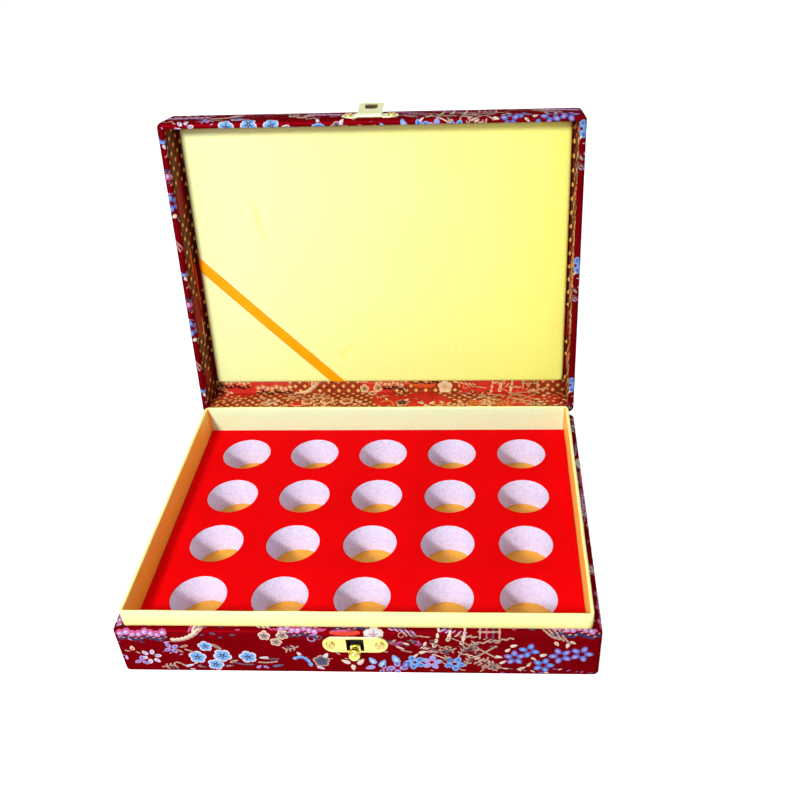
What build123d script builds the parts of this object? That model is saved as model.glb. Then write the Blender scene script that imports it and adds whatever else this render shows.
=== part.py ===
from build123d import *
import os
from math import asin, atan2, cos, degrees, hypot, radians, sin

os.makedirs("parts", exist_ok=True)

# Chinese brocade box with a cloth-hinged lid, a satin collar, a foam insert with round holes and a brass hasp.
# The origin is the centre of the face it stands on, +Y is the back and +Z is up. The lid stands open.

# Box as a whole
box_width = 260
box_depth = 197
corner_radius = 3.5
cloth = 0.5
rim_radius = 2.4
inner_rim_radius = 1.1
rim_gap = 0.3
open_angle = 99

# Base
base_height = 33
base_board = 3.5
floor_board = 1.5
base_turn_in = 12
base_hem = 14
paper_thickness = 0.5
paper_inset = 3

# Collar of satin over card, and the satin on the floor
collar_rise = 9.5
collar_card = 1.4
collar_satin_thickness = 0.3
collar_corner_radius = 3
collar_edge_radius = 0.9
floor_satin = 0.4

# Insert
insert_level = 24
flock_thickness = 0.6
insert_clearance = 0.3
insert_corner_radius = 1.5
hole_radius = 16
hole_columns = 5
hole_rows = 4
column_pitch = 46.5
row_pitch = 43.4

# Lid
lid_height = 30
lid_board = 3
lid_top_board_thickness = 2.5
lid_edge_radius = 2.9
lid_turn_in = 3
panel_depth = 22
panel_card_thickness = 1.5
panel_card_inset = 0.6
panel_gap = 2.3
panel_border = 9.9
panel_edge_radius = 2.2
panel_corner_radius = 1.5

# Ribbon across the lid's corner
ribbon_width = 7
ribbon_thickness = 0.4
ribbon_side_reach = 89.5
ribbon_tuck = 4

# Cloth hinge
hinge_cloth_thickness = 0.4
hinge_cloth_inset = 5
hinge_cloth_reach = 20
hinge_cloth_slack = 1

# Latch plates and screws
plate_length = 35
plate_width = 12
plate_thickness = 0.8
plate_bevel = 0.35
catch_height = 24
screw_spacing = 26.4
screw_radius = 1
screw_hole_clearance = 0.1
screw_length = 3.8
screw_head_radius = 2.5
screw_head_height = 1.2
screw_head_rounding = 0.9
screw_slot_width = 0.7
screw_slot_depth = 0.7

# Knob on a spring tongue, cut free in the catch plate
knob_height = 21.6
knob_radius = 3.3
knob_stand = 4.2
knob_neck_radius = 2
rivet_radius = 1.2
rivet_head_radius = 1.7
rivet_head_height = 0.5
tongue_width = 5.4
tongue_length = 4.6
tongue_corner = 1.2
slot_opening_width = 9.5
slot_opening_height = 9
slot_opening_sill = 1.5
pocket_margin = 0.3
pocket_depth = 2.7

# Hasp flap and its pin
pin_radius = 0.7
pin_clearance = 0.05
knuckle_wall = 0.75
knuckle_gap = 0.2
pin_above_rim = 2
flap_width = 15
flap_barrel_length = 8.2
flap_sheet = 0.7
flap_barrel_clearance = 0.4
window_width = 8
window_clearance = 0.45
flap_end_bar = 2
lip_width = 10
lip_bend_radius = 3.5
lip_bend_angle = 80
lip_length = 3.2
lip_corner = 2
flap_rest_gap = 0.3
flap_corner = 1

# Levels and widths that follow from the sizes above
board_corner = corner_radius - cloth
hem_level = paper_thickness
floor_level = hem_level + cloth
floor_top = floor_level + floor_board
base_wall = base_board + 2 * cloth
well_width = box_width - 2 * base_wall
well_depth = box_depth - 2 * base_wall
collar_top = base_height + collar_rise
collar_thickness = collar_card + 2 * collar_satin_thickness
tray_width = well_width - 2 * collar_thickness
tray_depth = well_depth - 2 * collar_thickness
lid_wall = lid_board + 2 * cloth
lid_roof = lid_height - cloth - lid_top_board_thickness
lid_inside_width = box_width - 2 * lid_wall
lid_inside_depth = box_depth - 2 * lid_wall
panel_width = lid_inside_width - 2 * panel_gap
panel_length = lid_inside_depth - panel_gap - panel_border
panel_middle = (panel_gap - panel_border) / 2

# Planes: the lid's own level plane lies at its rim, centred, and its normal points from the rim to the roof
hinge_level = base_height + rim_gap
lean = radians(open_angle)
lid_hinge = Plane(
    origin=(0, box_depth / 2, hinge_level),
    x_dir=(1, 0, 0),
    z_dir=(0, sin(lean), cos(lean)),
)
lid_middle = Plane(
    origin=lid_hinge.from_local_coords((0, -box_depth / 2, 0)),
    x_dir=lid_hinge.x_dir,
    z_dir=lid_hinge.z_dir,
)
lid_up = Axis(lid_middle.origin, lid_middle.z_dir)
catch_face = Plane(
    origin=(0, -box_depth / 2, catch_height),
    x_dir=(1, 0, 0),
    z_dir=(0, -1, 0),
)
hasp_face = Plane(
    origin=lid_hinge.from_local_coords((0, -box_depth, 0)),
    x_dir=(1, 0, 0),
    z_dir=-lid_hinge.y_dir,
)


def wall_of(ring, middle, half_inside, side):
    """One strip of a four-sided ring: front and back run full length, left and right stand between them."""
    front = Plane(
        origin=middle.from_local_coords((0, -half_inside, 0)),
        x_dir=middle.x_dir,
        z_dir=-middle.y_dir,
    )
    back = Plane(
        origin=middle.from_local_coords((0, half_inside, 0)),
        x_dir=-middle.x_dir,
        z_dir=middle.y_dir,
    )
    centre = Plane(origin=middle.origin, x_dir=middle.y_dir, z_dir=middle.x_dir)
    with BuildPart() as wall:
        add(ring)
        if side == "front":
            split(bisect_by=front, keep=Keep.TOP)
        elif side == "back":
            split(bisect_by=back, keep=Keep.TOP)
        else:
            split(bisect_by=front, keep=Keep.BOTTOM)
            split(bisect_by=back, keep=Keep.BOTTOM)
            split(bisect_by=centre, keep=Keep.TOP if side == "right" else Keep.BOTTOM)
    return wall.part


def screws_on(face):
    """Two slotted round-head screws, driven square through a plate on this face."""
    with BuildPart() as screws:
        with BuildSketch(face.offset(plate_thickness)):
            with GridLocations(screw_spacing, 0, 2, 1):
                Circle(screw_head_radius)
        extrude(amount=screw_head_height)
        crown = screws.edges().group_by(Axis(face.origin, face.z_dir))[-1]
        fillet(crown, screw_head_rounding)
        with BuildSketch(face.offset(plate_thickness + screw_head_height)):
            with GridLocations(screw_spacing, 0, 2, 1):
                Rectangle(screw_slot_width, 2 * screw_head_radius)
        extrude(amount=-screw_slot_depth, mode=Mode.SUBTRACT)
        with BuildSketch(face.offset(plate_thickness)):
            with GridLocations(screw_spacing, 0, 2, 1):
                Circle(screw_radius)
        extrude(amount=-screw_length)
    return screws.part


# Paper under the floor, which covers the hems of the cloth; the box stands on it
with BuildPart() as base_bottom_paper:
    with BuildSketch():
        RectangleRounded(box_width - 2 * paper_inset, box_depth - 2 * paper_inset, corner_radius)
    extrude(amount=paper_thickness)
base_bottom_paper.part.label = "base_bottom_paper"
export_step(base_bottom_paper.part, "parts/base_bottom_paper.step")

# Floor board
with BuildPart() as base_bottom_board:
    with BuildSketch(Plane.XY.offset(floor_level)):
        RectangleRounded(box_width - 2 * cloth, box_depth - 2 * cloth, board_corner)
    extrude(amount=floor_board)
base_bottom_board.part.label = "base_bottom_board"
export_step(base_bottom_board.part, "parts/base_bottom_board.step")

# Cuts behind the catch plate: a pocket for the rivet and the spring tongue, and the two screw holes
slot_centre = slot_opening_sill + (slot_opening_height - plate_width) / 2
with BuildPart() as catch_cuts:
    with BuildSketch(catch_face):
        with Locations((0, slot_centre)):
            Rectangle(slot_opening_width - 2 * pocket_margin, slot_opening_height - 2 * pocket_margin)
    extrude(amount=-pocket_depth)
    with BuildSketch(catch_face):
        with GridLocations(screw_spacing, 0, 2, 1):
            Circle(screw_radius)
    extrude(amount=plate_thickness - screw_length)

# Board walls of the base, standing on the floor board, with rounded rims
with BuildPart() as base_ring:
    with BuildSketch(Plane.XY.offset(floor_top)):
        RectangleRounded(box_width - 2 * cloth, box_depth - 2 * cloth, board_corner)
        Rectangle(well_width + 2 * cloth, well_depth + 2 * cloth, mode=Mode.SUBTRACT)
    extrude(amount=base_height - cloth - floor_top)
    fillet(base_ring.faces().sort_by(Axis.Z)[-1].outer_wire().edges(), rim_radius - cloth)
    fillet(base_ring.faces().sort_by(Axis.Z)[-1].inner_wires()[0].edges(), inner_rim_radius - cloth)
for side in ("front", "back", "left", "right"):
    with BuildPart() as base_wall_board:
        add(wall_of(base_ring.part, Plane.XY, box_depth / 2 - cloth - base_board, side))
        if side == "front":
            add(catch_cuts.part, mode=Mode.SUBTRACT)
    base_wall_board.part.label = f"base_{side}_wall"
    export_step(base_wall_board.part, f"parts/base_{side}_wall.step")

# Brocade round the base, turned down inside the rim and hemmed under the floor
with BuildPart() as base_brocade_cover:
    with BuildSketch(Plane.XY.offset(hem_level)):
        RectangleRounded(box_width, box_depth, corner_radius)
        Rectangle(well_width, well_depth, mode=Mode.SUBTRACT)
    extrude(amount=base_height - hem_level)
    fillet(base_brocade_cover.faces().sort_by(Axis.Z)[-1].outer_wire().edges(), rim_radius)
    fillet(base_brocade_cover.faces().sort_by(Axis.Z)[-1].inner_wires()[0].edges(), inner_rim_radius)
    with BuildSketch(Plane.XY.offset(hem_level)):
        RectangleRounded(box_width, box_depth, corner_radius)
        Rectangle(box_width - 2 * base_hem, box_depth - 2 * base_hem, mode=Mode.SUBTRACT)
    extrude(amount=cloth)
    with BuildSketch(Plane.XY.offset(floor_level)):
        Rectangle(well_width + 2 * cloth, well_depth + 2 * cloth)
    extrude(amount=base_height - base_turn_in - floor_level, mode=Mode.SUBTRACT)
    add(base_bottom_board.part, mode=Mode.SUBTRACT)
    add(base_ring.part, mode=Mode.SUBTRACT)
    add(catch_cuts.part, mode=Mode.SUBTRACT)
base_brocade_cover.part.label = "base_brocade_cover"
export_step(base_brocade_cover.part, "parts/base_brocade_cover.step")

# Yellow satin on the floor, seen through the holes
with BuildPart() as floor_lining:
    with BuildSketch(Plane.XY.offset(floor_top)):
        Rectangle(tray_width - 2 * insert_clearance, tray_depth - 2 * insert_clearance)
    extrude(amount=floor_satin)
floor_lining.part.label = "floor_lining"
export_step(floor_lining.part, "parts/floor_lining.step")

# Collar cards, standing on the floor board inside the walls
with BuildPart() as collar_ring:
    with BuildSketch(Plane.XY.offset(floor_top)):
        RectangleRounded(
            well_width - 2 * collar_satin_thickness,
            well_depth - 2 * collar_satin_thickness,
            collar_corner_radius - collar_satin_thickness,
        )
        RectangleRounded(
            tray_width + 2 * collar_satin_thickness,
            tray_depth + 2 * collar_satin_thickness,
            collar_corner_radius - collar_satin_thickness - collar_card,
            mode=Mode.SUBTRACT,
        )
    extrude(amount=collar_top - collar_satin_thickness - floor_top)
    collar_rim = collar_ring.faces().sort_by(Axis.Z)[-1]
    fillet(collar_rim.edges(), collar_edge_radius - collar_satin_thickness)
for side in ("front", "back", "left", "right"):
    with BuildPart() as collar_card_strip:
        add(wall_of(collar_ring.part, Plane.XY, tray_depth / 2 + collar_satin_thickness, side))
    collar_card_strip.part.label = f"collar_{side}"
    export_step(collar_card_strip.part, f"parts/collar_{side}.step")

# Pale yellow satin over both faces of the collar
with BuildPart() as collar_satin:
    with BuildSketch(Plane.XY.offset(floor_top)):
        RectangleRounded(well_width, well_depth, collar_corner_radius)
        RectangleRounded(tray_width, tray_depth, collar_corner_radius - collar_thickness, mode=Mode.SUBTRACT)
    extrude(amount=collar_top - floor_top)
    fillet(collar_satin.faces().sort_by(Axis.Z)[-1].edges(), collar_edge_radius)
    add(collar_ring.part, mode=Mode.SUBTRACT)
collar_satin.part.label = "collar_satin"
export_step(collar_satin.part, "parts/collar_satin.step")

# White foam insert on the satin floor, bored through for the pieces that it holds
foam_bottom = floor_top + floor_satin
foam_top = insert_level - flock_thickness
foam_width = tray_width - 2 * insert_clearance
foam_depth = tray_depth - 2 * insert_clearance
with BuildPart() as foam_insert:
    with BuildSketch(Plane.XY.offset(foam_bottom)):
        RectangleRounded(foam_width, foam_depth, insert_corner_radius)
        with GridLocations(column_pitch, row_pitch, hole_columns, hole_rows):
            Circle(hole_radius, mode=Mode.SUBTRACT)
    extrude(amount=foam_top - foam_bottom)
foam_insert.part.label = "foam_insert"
export_step(foam_insert.part, "parts/foam_insert.step")

# Red flocked sheet glued on the foam, with the same holes
with BuildPart() as flocked_face:
    with BuildSketch(Plane.XY.offset(foam_top)):
        RectangleRounded(foam_width, foam_depth, insert_corner_radius)
        with GridLocations(column_pitch, row_pitch, hole_columns, hole_rows):
            Circle(hole_radius, mode=Mode.SUBTRACT)
    extrude(amount=flock_thickness)
flocked_face.part.label = "flocked_face"
export_step(flocked_face.part, "parts/flocked_face.step")

# Cuts behind the hasp plate: the two screw holes
plate_foot = pin_above_rim + pin_radius
hasp_plate_face = Plane(
    origin=hasp_face.from_local_coords((0, plate_foot + plate_width / 2, 0)),
    x_dir=hasp_face.x_dir,
    z_dir=hasp_face.z_dir,
)
with BuildPart() as hasp_cuts:
    with BuildSketch(hasp_plate_face):
        with GridLocations(screw_spacing, 0, 2, 1):
            Circle(screw_radius)
    extrude(amount=plate_thickness - screw_length)

# Board roof of the lid
with BuildPart() as lid_top_board:
    with BuildSketch(lid_middle.offset(lid_roof)):
        RectangleRounded(box_width - 2 * cloth, box_depth - 2 * cloth, board_corner)
    extrude(amount=lid_top_board_thickness)
    fillet(lid_top_board.edges().group_by(lid_up)[-1], lid_edge_radius - cloth)
lid_top_board.part.label = "lid_top_board"
export_step(lid_top_board.part, "parts/lid_top_board.step")

# Board walls of the lid, under its roof, with rounded rims
with BuildPart() as lid_ring:
    with BuildSketch(lid_middle.offset(cloth)):
        RectangleRounded(box_width - 2 * cloth, box_depth - 2 * cloth, board_corner)
        Rectangle(lid_inside_width + 2 * cloth, lid_inside_depth + 2 * cloth, mode=Mode.SUBTRACT)
    extrude(amount=lid_roof - cloth)
    fillet(lid_ring.faces().sort_by(lid_up)[0].outer_wire().edges(), rim_radius - cloth)
    fillet(lid_ring.faces().sort_by(lid_up)[0].inner_wires()[0].edges(), inner_rim_radius - cloth)
for side in ("front", "back", "left", "right"):
    with BuildPart() as lid_wall_board:
        add(wall_of(lid_ring.part, lid_middle, box_depth / 2 - cloth - lid_board, side))
        if side == "front":
            add(hasp_cuts.part, mode=Mode.SUBTRACT)
    lid_wall_board.part.label = f"lid_{side}_wall"
    export_step(lid_wall_board.part, f"parts/lid_{side}_wall.step")

# Brocade round the lid, turned in over its rim
with BuildPart() as lid_brocade_cover:
    with BuildSketch(lid_middle):
        RectangleRounded(box_width, box_depth, corner_radius)
    extrude(amount=lid_height)
    fillet(lid_brocade_cover.edges().group_by(lid_up)[-1], lid_edge_radius)
    with BuildSketch(lid_middle):
        Rectangle(lid_inside_width, lid_inside_depth)
    extrude(amount=lid_turn_in, mode=Mode.SUBTRACT)
    fillet(lid_brocade_cover.faces().sort_by(lid_up)[0].outer_wire().edges(), rim_radius)
    fillet(lid_brocade_cover.faces().sort_by(lid_up)[0].inner_wires()[0].edges(), inner_rim_radius)
    with BuildSketch(lid_middle.offset(lid_turn_in)):
        Rectangle(lid_inside_width + 2 * cloth, lid_inside_depth + 2 * cloth)
    extrude(amount=lid_roof - lid_turn_in, mode=Mode.SUBTRACT)
    add(lid_ring.part, mode=Mode.SUBTRACT)
    add(lid_top_board.part, mode=Mode.SUBTRACT)
    add(hasp_cuts.part, mode=Mode.SUBTRACT)
lid_brocade_cover.part.label = "lid_brocade_cover"
export_step(lid_brocade_cover.part, "parts/lid_brocade_cover.step")

# Brocade lining on the inner front, left and right walls of the lid
with BuildPart() as lid_side_lining:
    with BuildSketch(lid_middle.offset(lid_turn_in)):
        with Locations((0, -cloth / 2)):
            Rectangle(lid_inside_width + 2 * cloth, lid_inside_depth + cloth)
        Rectangle(lid_inside_width, lid_inside_depth, mode=Mode.SUBTRACT)
    extrude(amount=lid_roof - lid_turn_in)
lid_side_lining.part.label = "lid_side_lining"
export_step(lid_side_lining.part, "parts/lid_side_lining.step")

# Brocade lining over the hinge: the inner back wall and the border beside the panel
lining_back = lid_inside_depth / 2
with BuildPart() as hinge_lining:
    with BuildSketch(lid_middle.offset(lid_turn_in)):
        with Locations((0, lining_back + cloth / 2)):
            Rectangle(lid_inside_width + 2 * cloth, cloth)
    extrude(amount=lid_roof - lid_turn_in)
    with BuildSketch(lid_middle.offset(lid_roof)):
        with Locations((0, lining_back - panel_border / 2)):
            Rectangle(lid_inside_width, panel_border)
    extrude(amount=-cloth)
hinge_lining.part.label = "hinge_lining"
export_step(hinge_lining.part, "parts/hinge_lining.step")

# Card that carries the satin panel
with BuildPart() as panel_card:
    with BuildSketch(lid_middle.offset(lid_roof - panel_card_thickness)):
        with Locations((0, panel_middle)):
            Rectangle(panel_width - 2 * panel_card_inset, panel_length - 2 * panel_card_inset)
    extrude(amount=panel_card_thickness)
panel_card.part.label = "panel_card"
export_step(panel_card.part, "parts/panel_card.step")

# Padded pale satin panel, wrapped round the edge of its card
with BuildPart() as satin_panel:
    with BuildSketch(lid_middle.offset(panel_depth)):
        with Locations((0, panel_middle)):
            RectangleRounded(panel_width, panel_length, panel_corner_radius)
    extrude(amount=lid_roof - panel_depth)
    fillet(satin_panel.edges().group_by(lid_up)[0], panel_edge_radius)
    add(panel_card.part, mode=Mode.SUBTRACT)
satin_panel.part.label = "satin_panel"
export_step(satin_panel.part, "parts/satin_panel.step")

# Ribbon laid over the panel's corner, its ends tucked behind the panel's edges
ribbon_level = panel_depth - ribbon_thickness
panel_left = -panel_width / 2 - ribbon_thickness
panel_foot = panel_middle + panel_length / 2 + ribbon_thickness
ribbon_half = ribbon_width / 2 * 2 ** 0.5
with BuildPart() as ribbon:
    with BuildSketch(lid_middle.offset(ribbon_level)):
        with BuildLine():
            Polyline(
                (panel_left, panel_foot - ribbon_side_reach - ribbon_half),
                (panel_left + ribbon_side_reach + ribbon_half, panel_foot),
                (panel_left + ribbon_side_reach - ribbon_half, panel_foot),
                (panel_left, panel_foot - ribbon_side_reach + ribbon_half),
                close=True,
            )
        make_face()
    extrude(amount=ribbon_thickness)
    with BuildSketch(lid_middle.offset(ribbon_level)):
        with Locations((panel_left + ribbon_thickness / 2, panel_foot - ribbon_side_reach)):
            Rectangle(ribbon_thickness, 2 * ribbon_half)
        with Locations((panel_left + ribbon_side_reach, panel_foot - ribbon_thickness / 2)):
            Rectangle(2 * ribbon_half, ribbon_thickness)
    extrude(amount=ribbon_tuck)
ribbon.part.label = "ribbon"
export_step(ribbon.part, "parts/ribbon.step")

# Cloth hinge behind the box: one half on each side of the hinge line
hinge_cloth_width = box_width - 2 * hinge_cloth_inset
with BuildPart() as hinge_cloth_base:
    with BuildSketch(Plane.XY.offset(base_height - hinge_cloth_slack)):
        with Locations((0, box_depth / 2 + hinge_cloth_thickness / 2)):
            Rectangle(hinge_cloth_width, hinge_cloth_thickness)
    extrude(amount=hinge_cloth_slack - hinge_cloth_reach)
hinge_cloth_base.part.label = "hinge_cloth_base"
export_step(hinge_cloth_base.part, "parts/hinge_cloth_base.step")

with BuildPart() as hinge_cloth_lid:
    with BuildSketch(lid_hinge.offset(hinge_cloth_slack)):
        with Locations((0, hinge_cloth_thickness / 2)):
            Rectangle(hinge_cloth_width, hinge_cloth_thickness)
    extrude(amount=hinge_cloth_reach - hinge_cloth_slack)
hinge_cloth_lid.part.label = "hinge_cloth_lid"
export_step(hinge_cloth_lid.part, "parts/hinge_cloth_lid.step")

# Catch plate with its spring tongue, on the front wall of the base
tongue_foot = slot_opening_sill - plate_width / 2
knob_offset = knob_height - catch_height
with BuildPart() as catch_plate:
    with BuildSketch(catch_face):
        SlotOverall(plate_length, plate_width)
    extrude(amount=plate_thickness)
    chamfer(catch_plate.edges().group_by(Axis.Y)[0], plate_bevel)
    with BuildSketch(catch_face):
        with Locations((0, slot_centre)):
            Rectangle(slot_opening_width, slot_opening_height)
        with Locations((0, tongue_foot + tongue_length / 2)):
            RectangleRounded(tongue_width, tongue_length, tongue_corner, mode=Mode.SUBTRACT)
        with Locations((0, tongue_foot + tongue_corner / 2)):
            Rectangle(tongue_width, tongue_corner, mode=Mode.SUBTRACT)
        with GridLocations(screw_spacing, 0, 2, 1):
            Circle(screw_radius + screw_hole_clearance)
        with Locations((0, knob_offset)):
            Circle(rivet_radius)
    extrude(amount=plate_thickness, mode=Mode.SUBTRACT)
catch_plate.part.label = "catch_plate"
export_step(catch_plate.part, "parts/catch_plate.step")

# Round knob, riveted through the tongue
knob_face = Plane(
    origin=catch_face.from_local_coords((0, knob_offset, 0)),
    x_dir=catch_face.x_dir,
    z_dir=catch_face.z_dir,
)
knob_centre = plate_thickness + knob_stand
with BuildPart() as catch_knob:
    with BuildSketch(knob_face.offset(-rivet_head_height)):
        Circle(rivet_head_radius)
    extrude(amount=rivet_head_height)
    with BuildSketch(knob_face):
        Circle(rivet_radius)
    extrude(amount=plate_thickness)
    with BuildSketch(knob_face.offset(plate_thickness)):
        Circle(knob_neck_radius)
    extrude(amount=knob_stand)
    with Locations(knob_face.offset(knob_centre)):
        Sphere(knob_radius)
catch_knob.part.label = "catch_knob"
export_step(catch_knob.part, "parts/catch_knob.step")

# Screws of the catch plate
with BuildPart() as catch_screws:
    add(screws_on(catch_face))
catch_screws.part.label = "catch_screws"
export_step(catch_screws.part, "parts/catch_screws.step")

# Pin axis of the hasp, just above the lid's rim and one knuckle radius off the front wall
knuckle_radius = pin_radius + knuckle_wall
pin_centre = hasp_face.from_local_coords((0, pin_above_rim, knuckle_radius))
pin_plane = Plane(origin=pin_centre, x_dir=(0, 1, 0), z_dir=(1, 0, 0))

# Hasp plate on the front wall of the lid, with a knuckle at each end of the pin
notch_width = flap_barrel_length + 2 * knuckle_gap
notch_top = pin_above_rim + knuckle_radius + flap_barrel_clearance
knuckle_length = (flap_width - notch_width) / 2
with BuildPart() as hasp_plate:
    with BuildSketch(hasp_plate_face):
        SlotOverall(plate_length, plate_width)
    extrude(amount=plate_thickness)
    chamfer(hasp_plate.edges().group_by(Axis(hasp_face.origin, hasp_face.z_dir))[-1], plate_bevel)
    with BuildSketch(hasp_face):
        with Locations((0, pin_above_rim + knuckle_radius / 2)):
            Rectangle(flap_width, knuckle_radius)
    extrude(amount=plate_thickness)
    for knuckle_side in (-flap_width / 2, flap_width / 2 - knuckle_length):
        with BuildSketch(pin_plane.offset(knuckle_side)):
            Circle(knuckle_radius)
        extrude(amount=knuckle_length)
    with BuildSketch(pin_plane.offset(-flap_width / 2)):
        Circle(pin_radius)
    extrude(amount=flap_width, mode=Mode.SUBTRACT)
    with BuildSketch(hasp_face):
        with Locations((0, notch_top / 2)):
            Rectangle(notch_width, notch_top)
    extrude(amount=2 * knuckle_radius, mode=Mode.SUBTRACT)
    with BuildSketch(hasp_plate_face):
        with GridLocations(screw_spacing, 0, 2, 1):
            Circle(screw_radius + screw_hole_clearance)
    extrude(amount=plate_thickness, mode=Mode.SUBTRACT)
hasp_plate.part.label = "hasp_plate"
export_step(hasp_plate.part, "parts/hasp_plate.step")

# Screws of the hasp plate
with BuildPart() as hasp_screws:
    add(screws_on(hasp_plate_face))
hasp_screws.part.label = "hasp_screws"
export_step(hasp_screws.part, "parts/hasp_screws.step")

# Pin through the knuckles
with BuildPart() as hasp_pin:
    with BuildSketch(pin_plane.offset(-flap_width / 2)):
        Circle(pin_radius)
    extrude(amount=flap_width)
hasp_pin.part.label = "hasp_pin"
export_step(hasp_pin.part, "parts/hasp_pin.step")

# Reach of the flap: its window swings round the knob, so it follows the knob's distance from the pin
knob_drop = hinge_level + pin_above_rim - knob_height
window_centre = hypot(knob_drop, knob_centre - knuckle_radius)
window_length = 2 * (knob_radius + window_clearance)
bar_end = window_centre + window_length / 2 + flap_end_bar

# The flap lies folded back: the tip of its lip all but touches the lid's front wall
bend = radians(lip_bend_angle)
tip_along = bar_end + lip_bend_radius * sin(bend) + lip_length * cos(bend)
tip_across = lip_bend_radius * (1 - cos(bend)) + lip_length * sin(bend) + flap_sheet / 2
tip_reach = hypot(tip_along, tip_across)
tip_drop = asin((knuckle_radius - flap_rest_gap) / tip_reach)
flap_lift = degrees(atan2(tip_across, tip_along) - tip_drop)
flap_fold = 180 - flap_lift
flap_turn = radians(open_angle + flap_fold)
flap_plane = Plane(
    origin=pin_centre,
    x_dir=(1, 0, 0),
    z_dir=(0, -cos(flap_turn), sin(flap_turn)),
)
lip_plane = Plane(origin=pin_centre, x_dir=-flap_plane.y_dir, z_dir=(-1, 0, 0))
leaf_start = knuckle_radius + flap_barrel_clearance

# Hasp flap: barrel, leaf with its window, and the curled lip that lifts it
with BuildPart() as hasp_flap:
    with BuildSketch(flap_plane.offset(-flap_sheet / 2)):
        with Locations((0, -(leaf_start + bar_end) / 2)):
            RectangleRounded(flap_width, bar_end - leaf_start, flap_corner)
        with Locations((0, -leaf_start)):
            Rectangle(flap_barrel_length, 2 * leaf_start)
    extrude(amount=flap_sheet)
    with BuildSketch(lip_plane.offset(-lip_width / 2)):
        with BuildLine():
            bar_run = Line((bar_end - flap_end_bar / 2, 0), (bar_end, 0))
            lip_bend = JernArc(bar_run @ 1, bar_run % 1, lip_bend_radius, lip_bend_angle)
            Line(lip_bend @ 1, (lip_bend @ 1) + lip_length * (lip_bend % 1))
        trace(line_width=flap_sheet)
    extrude(amount=lip_width)
    lip_edges = hasp_flap.edges().filter_by(lambda edge: abs(edge.length - flap_sheet) < flap_sheet / 1000)
    fillet(lip_edges.sort_by(Axis(pin_centre, flap_plane.z_dir))[-2:], lip_corner)
    with BuildSketch(pin_plane.offset(-flap_barrel_length / 2)):
        Circle(knuckle_radius)
    extrude(amount=flap_barrel_length)
    with BuildSketch(pin_plane.offset(-flap_barrel_length / 2)):
        Circle(pin_radius + pin_clearance)
    extrude(amount=flap_barrel_length, mode=Mode.SUBTRACT)
    with BuildSketch(flap_plane.offset(-flap_sheet / 2)):
        with Locations((0, -window_centre)):
            RectangleRounded(window_width, window_length, flap_corner)
    extrude(amount=flap_sheet, mode=Mode.SUBTRACT)
hasp_flap.part.label = "hasp_flap"
export_step(hasp_flap.part, "parts/hasp_flap.step")
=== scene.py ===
from math import copysign, cos, exp, pi, radians, sin

import bmesh
import bpy
from mathutils import Matrix, Vector, noise


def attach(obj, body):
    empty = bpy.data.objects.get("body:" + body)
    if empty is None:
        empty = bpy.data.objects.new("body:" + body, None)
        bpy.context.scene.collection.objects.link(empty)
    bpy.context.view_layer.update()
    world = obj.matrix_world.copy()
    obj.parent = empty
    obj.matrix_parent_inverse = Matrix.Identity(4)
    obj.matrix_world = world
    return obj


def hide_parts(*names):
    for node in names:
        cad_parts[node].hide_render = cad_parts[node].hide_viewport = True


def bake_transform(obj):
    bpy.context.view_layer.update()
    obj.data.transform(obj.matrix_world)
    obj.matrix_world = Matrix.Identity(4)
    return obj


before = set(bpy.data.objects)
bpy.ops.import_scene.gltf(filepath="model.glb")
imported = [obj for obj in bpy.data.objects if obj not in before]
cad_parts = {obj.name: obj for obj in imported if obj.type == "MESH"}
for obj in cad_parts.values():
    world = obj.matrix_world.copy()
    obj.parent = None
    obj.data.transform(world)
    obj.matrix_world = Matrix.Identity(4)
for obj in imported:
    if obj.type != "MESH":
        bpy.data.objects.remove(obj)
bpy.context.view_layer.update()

# Camera: it looks down into the open box from in front and a little to the right of its middle.
looking_down, turned_left, tipped = radians(36.55), radians(3.57), radians(-2.29)
picture_width, focal_length, sensor_width = 800, 902.42, 36
camera = bpy.data.objects.new("camera", bpy.data.cameras.new("camera"))
bpy.context.scene.collection.objects.link(camera)
camera.matrix_world = (
    Matrix.Translation((0.06984, -0.41216, 0.39892))
    @ Matrix.Rotation(turned_left, 4, "Z")
    @ Matrix.Rotation(radians(90) - looking_down, 4, "X")
    @ Matrix.Rotation(tipped, 4, "Z")
)
camera.data.lens = focal_length / picture_width * sensor_width
camera.data.shift_x = -41.31 / picture_width
camera.data.shift_y = 28.89 / picture_width
bpy.context.scene.camera = camera


# Room: a plain white floor under soft light from the upper left in front.
# The floor shows white to the camera and to polished metal, and keeps the box's soft shadow.
def tint(red, green, blue):
    """A colour given in the 0 to 255 steps of a colour chart, as the shaders count it."""
    steps = (red / 255, green / 255, blue / 255)
    return tuple(step / 12.92 if step < 0.04045 else ((step + 0.055) / 1.055) ** 2.4 for step in steps)


class Shade:
    """One output in a finish. Plain arithmetic on it adds the nodes that work it out."""

    def __init__(self, finish, socket):
        self.finish = finish
        self.socket = socket

    def worked(self, operation, *values):
        return self.finish.node("ShaderNodeMath", {"operation": operation}, values)

    def __add__(self, other):
        return self.worked("ADD", self, other)

    def __sub__(self, other):
        return self.worked("SUBTRACT", self, other)

    def __rsub__(self, other):
        return self.worked("SUBTRACT", other, self)

    def __mul__(self, other):
        return self.worked("MULTIPLY", self, other)

    def __gt__(self, other):
        return self.worked("GREATER_THAN", self, other)

    def __lt__(self, other):
        return self.worked("LESS_THAN", self, other)

    def __abs__(self):
        return self.worked("ABSOLUTE", self)

    __radd__ = __add__
    __rmul__ = __mul__

    def sine(self):
        return self.worked("SINE", self)

    def ripple(self):
        """A sine wave that swings between 0 and 1."""
        return self.sine() * 0.5 + 0.5

    def output(self, index):
        return Shade(self.finish, self.socket.node.outputs[index])


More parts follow.
